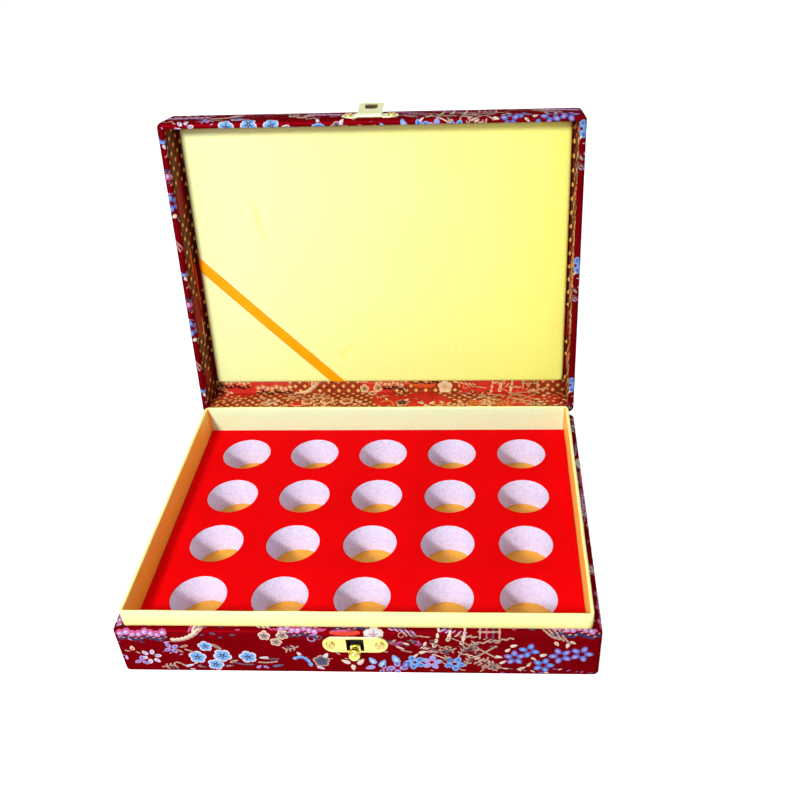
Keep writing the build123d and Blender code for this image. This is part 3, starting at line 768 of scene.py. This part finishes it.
# Collar: four cards stood inside the walls of the base and wrapped together in lemon satin, which is drawn
# over their rounded top edge and down both faces. Its edge is a little wavy where the satin was pulled tight.
lemon, lemon_deep = tint(248, 248, 184), tint(246, 241, 138)
collar_half_depth = 94.0
collar_outline = (0.0, 0.0, 0.0, [(0, 122.5), (3.0, 90), (0, 182.0), (3.0, 90), (0, 122.5)])
collar_face = [(0, 0.95), (0.05, 90), (0, 38.95), (0.9, 90)]
collar_profile = (-1.0, 2.6, 0.0, collar_face + [(0, 0.2)] + collar_face[::-1])
# The spans where the collar's satin is painted: the side cards' inner faces with shade, the far card with
# light, below the rim.
side_card, far_card, collar_rim = (122.6 * mm, 124.5 * mm), (91.5 * mm, 92.2 * mm), 42.1 * mm
rim_wave, face_wave, wave_length = 0.3, 0.0012, 21


def satin(name, colour, deep, gloss, slub=1.0, painted_left_light=0.0, painted_shade_and_light=0.0):
    """Plain satin: long threads with soft slubs along them, cloudy in colour and evenly glossy, with painted
    shade along creases. The painted left light draws the cloth lighter towards its left side, where the lamp
    falls.
    The painted shade and light, on the collar, draws deep orange shade on the inner faces of the side cards
    and draws the far card lighter, as painted light."""
    finish = Finish(name)
    where, along, up = finish.weave()
    threads = (up * (2000 * pi / 0.34)).ripple()
    slubs = finish.grain(where, 420.0, 3.0, (0.2, 1.0, 1.0))
    cloudy = finish.grain(where, 22.0, 3.0)
    speckle = finish.grain(where, 750.0, 2.0)
    # Painted light: the cloth is drawn lighter towards its left side, where the lamp on the left falls.
    left_light_share = (0.5 - along * 4.2) * painted_left_light
    body = finish.mixed(cloudy * 0.6 + slubs * 0.4, deep, colour)
    body_with_painted_light = finish.mixed(left_light_share, body, tint(236, 246, 192))
    # Painted shade, deep orange, on the inner faces of the collar's side cards, and painted light on its far
    # card.
    spot = finish.apart(finish.solid())
    across, inner = abs(spot), (abs(spot.output(1)) < far_card[1]) * (spot.output(2) < collar_rim)
    shaded_side_faces = (across > side_card[0]) * (across < side_card[1]) * inner
    lit_far_face = (spot.output(1) > far_card[0]) * inner
    body_with_painted_light = finish.mixed(lit_far_face * painted_shade_and_light, body_with_painted_light, tint(222, 255, 212))
    body_with_painted_light = finish.mixed(shaded_side_faces * painted_shade_and_light, body_with_painted_light, tint(255, 166, 0))
    # Painted shade: a deeper colour along the creases of the panel.
    crease = finish.node("ShaderNodeAttribute", {"attribute_name": "crease"}).output(2)
    body_with_painted_light = finish.mixed(crease * 0.6, body_with_painted_light, deep)
    flecks = (speckle > 0.56) * 0.3 + threads * 0.05
    return finish.surface({
        "Base Color": finish.mixed(flecks, body_with_painted_light, toned(deep, 0.84)),
        "Roughness": gloss + 0.14 * slubs,
        "Normal": finish.relief(slubs * 0.6 * slub + threads * 0.15 + speckle * 0.25, 0.1 * mm, 0.6),
        "Sheen Weight": 0.3,
        "Sheen Roughness": 0.4,
        "Sheen Tint": tint(255, 236, 150),
    })


def on_collar(spot):
    placed = ring_place(collar_outline, collar_profile, collar_half_depth, spot)
    if placed.z > 3:
        near = Vector((placed.x / wave_length, placed.y / wave_length, placed.z / 60))
        placed.z += rim_wave * (placed.z > 40) * (0.5 + noise.noise(near))
        swell = 1 + face_wave * noise.noise(near + Vector((7, 3, 0)))
        placed.x *= swell
        placed.y *= swell
    return placed


# The collar's satin carries painted shade, deep orange, on the inner faces of its side cards, and painted
# light on its far card.
lemon_satin = satin("lemon_satin", lemon, lemon_deep, 0.34, painted_shade_and_light=0.92)
collar = flat_cloth(both_ways(stations(collar_outline, 4)), stations(collar_profile, 5, 4))
collar = glued_cloth("collar_cover", collar, on_collar, lemon_satin, "base", 0.15)
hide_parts("collar_satin")

# Floor lining: a piece of golden satin glued on the floor board inside the collar. It is seen as a crescent
# at the bottom of each hole.
floor_half_width, floor_half_depth, lining_top, glue_wave = 123.2, 91.7, 2.86, 0.1


def even(half, parts):
    """Distances that divide a cloth evenly, from its one edge through its middle to the other."""
    return [-half + 2 * half * step / parts for step in range(parts + 1)]


def on_floor(spot):
    return Vector((spot.x, spot.y, lining_top - glue_wave * (0.5 + 0.5 * noise.noise(spot / 9))))


golden_satin = satin("golden_satin", tint(240, 178, 40), tint(214, 138, 18), 0.36)
floor_lining = flat_cloth(even(floor_half_width, 80), even(floor_half_depth, 60))
floor_lining = glued_cloth("floor_satin", floor_lining, on_floor, golden_satin, "base", 0.2)
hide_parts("floor_lining")

# Insert: a slab of white foam with twenty punched holes, laid on the floor inside the collar, and a sheet of
# red flock glued on its face and punched with it. The punch leaves the edges of both slightly rounded.
column_pitch, row_pitch, hole_radius, hair = 46.5, 43.4, 16.0, 0.01
foam_bottom, foam_top, foam_rounding, flock_top, flock_rounding = 2.9, 23.4, 0.3, 24.0, 0.22


def bored_sheet():
    """A flat sheet in millimetres with its holes, five along and four deep."""
    sheet = bmesh.new()
    for column in range(5):
        for row in range(4):
            middle = Vector(((column - 2) * column_pitch, (row - 1.5) * row_pitch, 0))
            rim = bmesh.ops.create_circle(sheet, segments=64, radius=hole_radius)["verts"]
            border = bmesh.ops.create_circle(sheet, segments=64, radius=1)["verts"]
            for vert in border:
                reach = max(abs(vert.co.x), abs(vert.co.y))
                vert.co = Vector((vert.co.x * column_pitch / 2, vert.co.y * row_pitch / 2, 0)) / reach
            edges = {edge for vert in rim + border for edge in vert.link_edges}
            bmesh.ops.bridge_loops(sheet, edges=list(edges))
            bmesh.ops.translate(sheet, verts=rim + border, vec=middle)
    bmesh.ops.remove_doubles(sheet, verts=sheet.verts, dist=hair)
    for vert in sheet.verts:
        if abs(vert.co.x) > 2.5 * column_pitch - hair:
            vert.co.x = copysign(floor_half_width, vert.co.x)
        if abs(vert.co.y) > 2 * row_pitch - hair:
            vert.co.y = copysign(floor_half_depth, vert.co.y)
    bmesh.ops.recalc_face_normals(sheet, faces=sheet.faces)
    return sheet


def bored_slab(bottom, top, rounding):
    """A slab cut from the bored sheet, with its upper edges rounded."""
    slab = bored_sheet()
    bmesh.ops.translate(slab, verts=slab.verts, vec=(0, 0, bottom))
    raised = bmesh.ops.extrude_face_region(slab, geom=slab.faces[:])["geom"]
    upper = [item for item in raised if isinstance(item, bmesh.types.BMVert)]
    bmesh.ops.translate(slab, verts=upper, vec=(0, 0, top - bottom))
    bmesh.ops.recalc_face_normals(slab, faces=slab.faces)
    crisp = [
        edge for edge in slab.edges
        if min(vert.co.z for vert in edge.verts) > top - hair and edge.calc_face_angle(0.0) > 1.0
    ]
    bmesh.ops.bevel(
        slab, geom=crisp, offset=rounding, offset_type="OFFSET", segments=3, profile=0.5,
        affect="EDGES", material=-1,
    )
    marked_with_weave(slab)
    for vert in slab.verts:
        vert.co *= mm
    return slab


foam_finish = Finish("white_foam")
foam_where = foam_finish.solid()
foam_cells = foam_finish.node("ShaderNodeTexVoronoi", {}, {"Vector": foam_where, "Scale": 900.0})
foam_cloud = foam_finish.grain(foam_where, 300.0, 3.0)
foam_body = foam_finish.mixed(foam_cloud, tint(216, 206, 244), tint(240, 234, 252))
white_foam = foam_finish.surface({
    "Base Color": foam_finish.mixed((foam_cells > 0.62) * 0.4, foam_body, tint(196, 180, 226)),
    "Roughness": 0.55 + 0.3 * foam_cells,
    "Normal": foam_finish.relief(foam_cells, 0.25 * mm, 0.8),
    "Sheen Weight": 0.1,
})
foam = piece("foam_slab", bored_slab(foam_bottom, foam_top, foam_rounding), [white_foam], "base")
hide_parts("foam_insert")

flock_finish = Finish("red_flock")
flock_where = flock_finish.solid()
flock_pile = flock_finish.grain(flock_where, 1600.0, 2.0)
flock_stroke = flock_finish.grain(flock_where, 45.0, 3.0, (1.0, 0.5, 1.0))
flock_body = flock_finish.mixed(flock_stroke * 0.6 + flock_pile * 0.4, tint(198, 0, 4), tint(234, 2, 8))
red_flock = flock_finish.surface({
    "Base Color": flock_body,
    "Roughness": 0.8 + 0.15 * flock_pile,
    "Normal": flock_finish.relief(flock_pile, 0.16 * mm, 0.5),
    "Specular IOR Level": 0.03,
})
flock = piece("flock_sheet", bored_slab(foam_top, flock_top, flock_rounding), [red_flock], "base")
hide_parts("flocked_face")

# Brocade on the lid: the same cloth glued over the roof and down its four walls, turned in over the rim.
# The lid stands open on its cloth hinge, 99 degrees back from the closed box.
lid_height, lid_wall, lid_opening, hinge_level = 30.0, 4.0, radians(99), 33.3
lid_at = (
    Matrix.Translation((0, box_half_depth, hinge_level))
    @ Matrix.Rotation(-lid_opening, 4, "X")
    @ Matrix.Translation((0, -box_half_depth, 0))
)
lid_profile = (
    -lid_wall, 3.0, radians(-90), [(0, 1.9), (1.1, 90), (0, 0.5), (2.4, 90), (0, 24.7), (2.9, 90), (0, 95.6)],
)


def on_lid_walls(spot):
    return lid_at @ ring_place(base_outline, lid_profile, box_half_depth, spot)


lid_cover = flat_cloth(both_ways(stations(base_outline, 12)), stations(lid_profile, 8))
lid_cover = glued_cloth("lid_brocade", lid_cover, on_lid_walls, brocade_red, "lid", 0.5)
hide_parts("lid_brocade_cover")

# Blossoms on the lid: repeats of the same pattern in staggered rows over the roof, which run on over the
# rounded edges, down the walls and round the rim.
down_and_in = [(2.9, 90), (0, 24.7), (2.4, 90), (0, 0.5), (1.1, 90), (0, 1.6)]
over_side = (0.0, 0.0, 0.0, [(0, 127.1)] + down_and_in)
over_front = (0.0, 0.0, 0.0, [(0, 95.6)] + down_and_in)


def on_lid(spot):
    """Takes a point of the flat cloth, whose middle lies on the roof's middle, to its place on the lid."""
    x, side_drop, side_turn = walked(over_side, abs(spot.x))
    y, front_drop, front_turn = walked(over_front, abs(spot.y))
    turn = max(side_turn, front_turn)
    x += sin(side_turn) * spot.z
    y += sin(front_turn) * spot.z
    level = lid_height - side_drop - front_drop + cos(turn) * spot.z
    return lid_at @ Vector((copysign(x, spot.x), copysign(y, spot.y), level))


first_row = -142
lid_floats = repeats([
    (repeat_length * (row % 2 / 2 + column), first_row + repeat_height * row)
    for row in range(-1, 8) for column in (-1, 0)
])
for axis, path in (("x", over_side), ("y", over_front)):
    cut_at(lid_floats, axis, turn_marks(path, (-1, 1)), path_length(path), -path_length(path))
corner_x, corner_y = 126.6, 95.1
middles = {face: face.calc_center_median() for face in lid_floats.faces}
cut_off = [face for face, middle in middles.items() if abs(middle.x) > corner_x and abs(middle.y) > corner_y]
bmesh.ops.delete(lid_floats, geom=cut_off, context="FACES")
lid_floats = woven_in("lid_blossoms", lid_floats, on_lid, yarns, "lid")

# Linings of the lid: the same brocade in its warm colours, glued on the inner walls, and over the hinge as a
# strip that runs from the inner back wall onto the roof beside the panel.
lining_half_depth = 94.5
lining_outline = (0.0, 0.0, 0.0, [(0, 125.7), (0.3, 90), (0, 188.4)])
lining_profile = (0.0, 3.0, radians(90), [(0, 23.3), (0.3, 90), (0, 1.9)])
hinge_strip = (0.0, 3.0, radians(90), [(0, 22.7), (0.8, 90), (0, 9.1)])
warm = {
    "white": tint(246, 220, 176),
    "sky": tint(234, 132, 60),
    "blue": tint(206, 74, 34),
    "navy": tint(64, 20, 18),
    "lavender": tint(240, 196, 140),
    "pink": tint(226, 96, 60),
    "cream": tint(248, 214, 164),
    "tan": tint(228, 176, 122),
    "slate": tint(104, 62, 40),
    "coral": tint(236, 92, 30),
}
warm_yarns = [yarn(f"lining_yarn_{name}", warm[name]) for name in yarn_names]


def latticed_ground(name, light, dark, brown, dot_size, dot_run, dot_rise):
    """The ground of a lining: satin with a slanting lattice of gold dots on brown patches."""
    finish = Finish(name)
    where, along, up = finish.weave()
    along, up = along * (2000 * pi / dot_run), up * (2000 * pi / dot_rise)
    ridge, furrow = (along + up).sine(), (along - up).sine()
    dots = (ridge > dot_size) * (furrow > dot_size)
    patches = finish.grain(where, 26.0, 1.0) > 0.47
    cloudy = finish.grain(where, 90.0, 3.0)
    threads = (up * 12.0).ripple()
    body = finish.mixed(cloudy, dark, light)
    barred = finish.mixed(patches * 0.7, body, brown)
    olive = finish.mixed(patches * (ridge > 0.55) * 0.5, barred, tint(104, 78, 24))
    return finish.surface({
        "Base Color": finish.mixed(dots * patches, olive, tint(232, 176, 92)),
        "Roughness": 0.42 + 0.15 * cloudy,
        "Normal": finish.relief(dots * patches * 0.7 + threads * 0.3, 0.06 * mm, 0.6),
        "IOR": 1.2,
    })


side_ground = latticed_ground(
    "side_lining_ground", tint(150, 12, 8), tint(116, 2, 4), tint(70, 26, 8), 0.5, 9.0, 12.0,
)
hinge_ground = latticed_ground(
    "hinge_lining_ground", tint(214, 56, 34), tint(170, 26, 20), tint(128, 48, 26), 0.2, 7.0, 7.0,
)


def on_side_lining(spot):
    mirrored = Vector((-spot.x, spot.y, -spot.z))
    return lid_at @ ring_place(lining_outline, lining_profile, lining_half_depth, mirrored)


def on_hinge_lining(spot):
    inward, level, heading = walked(hinge_strip, spot.y)
    across = lining_half_depth + inward - sin(heading) * spot.z
    return lid_at @ Vector((spot.x, across, level + cos(heading) * spot.z))


side_lining = flat_cloth(both_ways(stations(lining_outline, 12)), stations(lining_profile, 6))
side_lining = glued_cloth("side_lining", side_lining, on_side_lining, side_ground, "lid", 0.4)
side_floats = repeats([(x, -6.0) for x in (-400, -140)])
float_patch(side_floats, "coral", (232, 17.0), (34, 3.2), 0, 1, 10)
float_patch(side_floats, "coral", (214, 12.0), (22, 2.4), 0, 1, 10)
float_patch(side_floats, "tan", (262, 14.5), (20, 2.0), 0, 2, 8)
lining_half, lining_reach = path_length(lining_outline), 23.0
cut_at(side_floats, "x", turn_marks(lining_outline, (-1, 1)), lining_half, -lining_half)
cut_at(side_floats, "y", [], lining_reach, 0.0)
side_floats = woven_in("side_lining_blossoms", side_floats, on_side_lining, warm_yarns, "lid")
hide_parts("lid_side_lining")

strip_half_width, strip_hem = 126.0, 0.2
hinge_lining = flat_cloth(even(strip_half_width, 20), stations(hinge_strip, 4))
hinge_lining = glued_cloth("hinge_strip_lining", hinge_lining, on_hinge_lining, hinge_ground, "lid", 0.4)
hinge_floats = repeats([(x, -4.0) for x in (-230, 30)])
cut_at(hinge_floats, "x", [], strip_half_width - strip_hem, strip_hem - strip_half_width)
cut_at(hinge_floats, "y", turn_marks(hinge_strip), path_length(hinge_strip), 0.0)
hinge_floats = woven_in("hinge_strip_blossoms", hinge_floats, on_hinge_lining, warm_yarns, "lid")
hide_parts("hinge_lining")

# Panel in the lid: pale lemon satin drawn over a thin pad and a card, and glued behind it. Its face swells
# slightly under the pull of the cloth, which is simulated, and it carries two faint creases.
panel_half_width, panel_half_length, panel_edge, panel_depth, panel_shift = 123.7, 88.4, 2.2, 22.0, -3.8
face_half_width, face_half_length = panel_half_width - panel_edge, panel_half_length - panel_edge
columns, ranks = 162, 116
panel_skin = flat_cloth(even(face_half_width, columns), even(face_half_length, ranks))


def swollen(work):
    """Heights in millimetres that a cloth pinned at its edge takes when the pad presses it out."""
    mesh = bpy.data.meshes.new("panel_trial")
    work.to_mesh(mesh)
    mesh.transform(Matrix.Scale(mm, 4))
    trial = bpy.data.objects.new("panel_trial", mesh)
    scene.collection.objects.link(trial)
    pins = trial.vertex_groups.new(name="glued_edge")
    inner_x, inner_y = (face_half_width - hair) * mm, (face_half_length - hair) * mm
    edge = [vert.index for vert in mesh.vertices if abs(vert.co.x) > inner_x or abs(vert.co.y) > inner_y]
    pins.add(edge, 1.0, "REPLACE")
    press = trial.modifiers.new("press", "CLOTH")
    for key, value in {
        "vertex_group_mass": "glued_edge", "quality": 6, "mass": 0.2, "tension_stiffness": 15,
        "compression_stiffness": 15, "shear_stiffness": 5, "bending_stiffness": 0.05,
        "use_pressure": True, "uniform_pressure_force": 4.0, "shrink_min": -0.002,
    }.items():
        setattr(press.settings, key, value)
    press.settings.effector_weights.gravity = 0
    press.collision_settings.use_collision = False
    settled = 20
    for step in range(1, settled + 1):
        scene.frame_set(step)
    shaped = trial.evaluated_get(bpy.context.evaluated_depsgraph_get()).to_mesh()
    heights = [vert.co.z / mm for vert in shaped.vertices]
    bpy.data.objects.remove(trial)
    scene.frame_set(1)
    return heights


def grid_spot(x, y):
    """The column and rank of the panel's face that lie nearest to a place on it."""
    column = round((x + face_half_width) / (2 * face_half_width / columns))
    return column, round((y + face_half_length) / (2 * face_half_length / ranks))


pressed = swollen(panel_skin)
tallest, pad_swell, deepest = max(pressed), 1.0, 0.6
creases = (
    ((-83, 47), (-75.5, 9), 1.7, deepest), ((-34, -72), (-24, -60), 1.7, deepest),
    ((64, -30), (84, -62), 3.0, 0.2),
)
panel_heights = {}
# Each point's depth share in the creases, kept for the satin's painted shade along them.
crease_shade_share = panel_skin.verts.layers.float.new("crease")
for vert, height in zip(panel_skin.verts, pressed):
    lift = pad_swell * max(height, 0) / tallest
    for start, end, width, deep in creases:
        run, from_start = Vector(end) - Vector(start), vert.co.xy - Vector(start)
        share = max(0.0, min(1.0, from_start.dot(run) / run.length_squared))
        off = (from_start - share * run).length
        hollow = exp(-((off / width) ** 2)) * sin(pi * max(0.05, min(0.95, share)))
        lift -= deep * hollow
        vert[crease_shade_share] += deep / deepest * hollow
    lift += 0.05 * noise.noise(vert.co / 17)
    vert.co.z = max(lift, 0.0)
    panel_heights[grid_spot(vert.co.x, vert.co.y)] = vert.co.z

edge = [item for item in panel_skin.edges if item.is_boundary]
skirt, corner_cut = (0, 1.3, 2.6), 0.25
for step in range(1, 8):
    bend = min(step, 5) * pi / 10
    out, down = panel_edge * sin(bend), panel_edge * (1 - cos(bend)) + skirt[max(step - 5, 0)]
    grown = bmesh.ops.extrude_edge_only(panel_skin, edges=edge)["geom"]
    for vert in (item for item in grown if isinstance(item, bmesh.types.BMVert)):
        if abs(vert.co.x) > face_half_width - hair:
            vert.co.x = copysign(face_half_width + out, vert.co.x)
        if abs(vert.co.y) > face_half_length - hair:
            vert.co.y = copysign(face_half_length + out, vert.co.y)
        if abs(vert.co.x) > face_half_width - hair and abs(vert.co.y) > face_half_length - hair:
            vert.co.x -= copysign(corner_cut * out, vert.co.x)
            vert.co.y -= copysign(corner_cut * out, vert.co.y)
        vert.co.z = -down
    edge = [item for item in grown if isinstance(item, bmesh.types.BMEdge)]
bmesh.ops.contextual_create(panel_skin, geom=edge)
panel_place = lid_at @ Matrix.Translation((0, panel_shift, panel_depth)) @ Matrix.Rotation(pi, 4, "X")
for vert in panel_skin.verts:
    vert.co = (panel_place @ vert.co) * mm
bmesh.ops.recalc_face_normals(panel_skin, faces=panel_skin.faces)
# The panel's satin is painted lighter towards its left side, as painted light from the lamp on the left.
pale_satin = satin("pale_satin", tint(242, 247, 134), tint(242, 245, 106), 0.4, 0.8, 0.75)
panel = piece("satin_pad", panel_skin, [pale_satin], "lid", 60)
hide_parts("satin_panel")

# Ribbon: a 7 mm orange ribbon laid across the panel's corner to hold papers. It has woven selvages, and its
# two ends are drawn over the panel's edges and glued behind.
ribbon_width, ribbon_half_length, ribbon_middle, ribbon_lift = 7.0, 70, (-79.35, 40.25, 0), 0.28
bend_x, bend_y = -face_half_width, face_half_length + panel_shift
over_edge = (0.0, 0.0, 0.0, [(2.5, 90), (0, 1.8)])


def on_panel(spot):
    x, y, drop = spot.x, spot.y, 0.0
    level = panel_depth - ribbon_lift - panel_heights.get(grid_spot(x, panel_shift - y), 0.0)
    if x < bend_x:
        reach, drop, _ = walked(over_edge, bend_x - x)
        x = bend_x - reach
    if y > bend_y:
        reach, more, _ = walked(over_edge, y - bend_y)
        y = bend_y + reach
        drop += more
    return lid_at @ Vector((x, y, level + drop))


ribbon = flat_cloth(even(ribbon_half_length, 100), even(ribbon_width / 2, 6))
ribbon_turn = Matrix.Translation(ribbon_middle) @ Matrix.Rotation(radians(45), 4, "Z")
bmesh.ops.transform(ribbon, matrix=ribbon_turn, verts=ribbon.verts)
ribbon_end, ribbon_bends = path_length(over_edge), (0, 0.8, 1.6, 2.4, 3.2)
cut_at(ribbon, "x", [bend_x - mark for mark in ribbon_bends], None, bend_x - ribbon_end)
cut_at(ribbon, "y", [bend_y + mark for mark in ribbon_bends], bend_y + ribbon_end)
laid(ribbon, on_panel)
bmesh.ops.recalc_face_normals(ribbon, faces=ribbon.faces)
ribbon_finish = Finish("orange_ribbon")
ribbon_where, ribbon_along, ribbon_up = ribbon_finish.weave()
ribbon_ribs = (ribbon_along * (2000 * pi / 0.7)).ripple()
selvage = abs(ribbon_up) > 2.9 * mm
ribbon_cloud = ribbon_finish.grain(ribbon_where, 120.0, 2.0)
ribbon_body = ribbon_finish.mixed(ribbon_cloud, tint(250, 154, 0), tint(255, 174, 0))
orange_ribbon = ribbon_finish.surface({
    "Base Color": ribbon_finish.mixed(selvage * 0.35 + ribbon_ribs * 0.12, ribbon_body, tint(226, 118, 0)),
    "Roughness": 0.4 + 0.15 * ribbon_ribs,
    "Normal": ribbon_finish.relief(ribbon_ribs * 0.6 + selvage * 0.4, 0.08 * mm, 0.7),
    "IOR": 1.2,
})
ribbon = thickened(piece("corner_ribbon", ribbon, [orange_ribbon], "lid", 60), 0.25, 0.0)
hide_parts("ribbon")

# Cloth hinge: one strip of the brocade glued on the back walls of the base and the lid. It bends between them
# and holds the open lid.
hinge_half_width, hinge_hem = 125.0, 0.4
hinge_path = (-98.9, 13.0, radians(90), [(0, 18.66), (1.0, 99), (0, 18.36)])


def on_hinge(spot):
    backward, level, heading = walked(hinge_path, spot.y)
    return Vector((-spot.x, -backward + sin(heading) * spot.z, level + cos(heading) * spot.z))


hinge_cloth = flat_cloth(even(hinge_half_width, 24), stations(hinge_path, 3, 12))
hinge_cloth = glued_cloth("hinge_brocade", hinge_cloth, on_hinge, brocade_red, None, 0.35, 60)
hinge_blossoms = repeats([(x, -1.0) for x in (-130, 130)])
cut_at(hinge_blossoms, "x", [], hinge_half_width - hinge_hem, hinge_hem - hinge_half_width)
cut_at(hinge_blossoms, "y", turn_marks(hinge_path), path_length(hinge_path) - hinge_hem, hinge_hem)
hinge_blossoms = woven_in("hinge_blossoms", hinge_blossoms, on_hinge, yarns, None)
for part in (hinge_cloth, hinge_blossoms):
    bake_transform(part)
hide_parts("hinge_cloth_base", "hinge_cloth_lid")


# Latch: pale brass. The two plates are stamped and bevelled, the knob is turned and riveted to its spring
# tongue, the hasp's flap is bent sheet on a turned pin, and the four slotted screws are a duller brass.
def pale_brass(name, colour, tarnish, gloss, brushed):
    finish = Finish(name)
    where = finish.solid()
    cloudy = finish.grain(where, 240.0, 3.0)
    strokes = finish.grain(where, 2400.0, 2.0, (0.06, 1.0, 1.0))
    specks = (finish.grain(where, 900.0, 2.0) > 0.66) * 0.5
    body = finish.mixed(cloudy, toned(colour, 0.82), colour)
    return finish.surface({
        "Base Color": finish.mixed(specks, body, tarnish),
        "Metallic": 1.0,
        "Roughness": gloss + 0.2 * cloudy * brushed,
        "Normal": finish.relief(strokes * brushed + cloudy * 0.2, 0.02 * mm, 0.5),
    })


plate_brass = pale_brass("plate_brass", tint(226, 218, 132), tint(150, 130, 66), 0.3, 1.0)
# The hasp's plate and flap are drawn in a lighter, greener brass than the catch plate: painted light where
# the lamp falls on them.
lit_hasp_brass = pale_brass("lit_hasp_brass", tint(230, 234, 180), tint(168, 156, 100), 0.3, 1.0)
knob_brass = pale_brass("knob_brass", tint(234, 222, 118), tint(170, 150, 80), 0.16, 0.3)
screw_brass = pale_brass("screw_brass", tint(204, 186, 118), tint(96, 66, 36), 0.34, 0.6)
dressed(plate_brass, "catch_plate")
dressed(lit_hasp_brass, "hasp_plate", "hasp_flap")
dressed(knob_brass, "catch_knob", "hasp_pin")
dressed(screw_brass, "catch_screws", "hasp_screws")
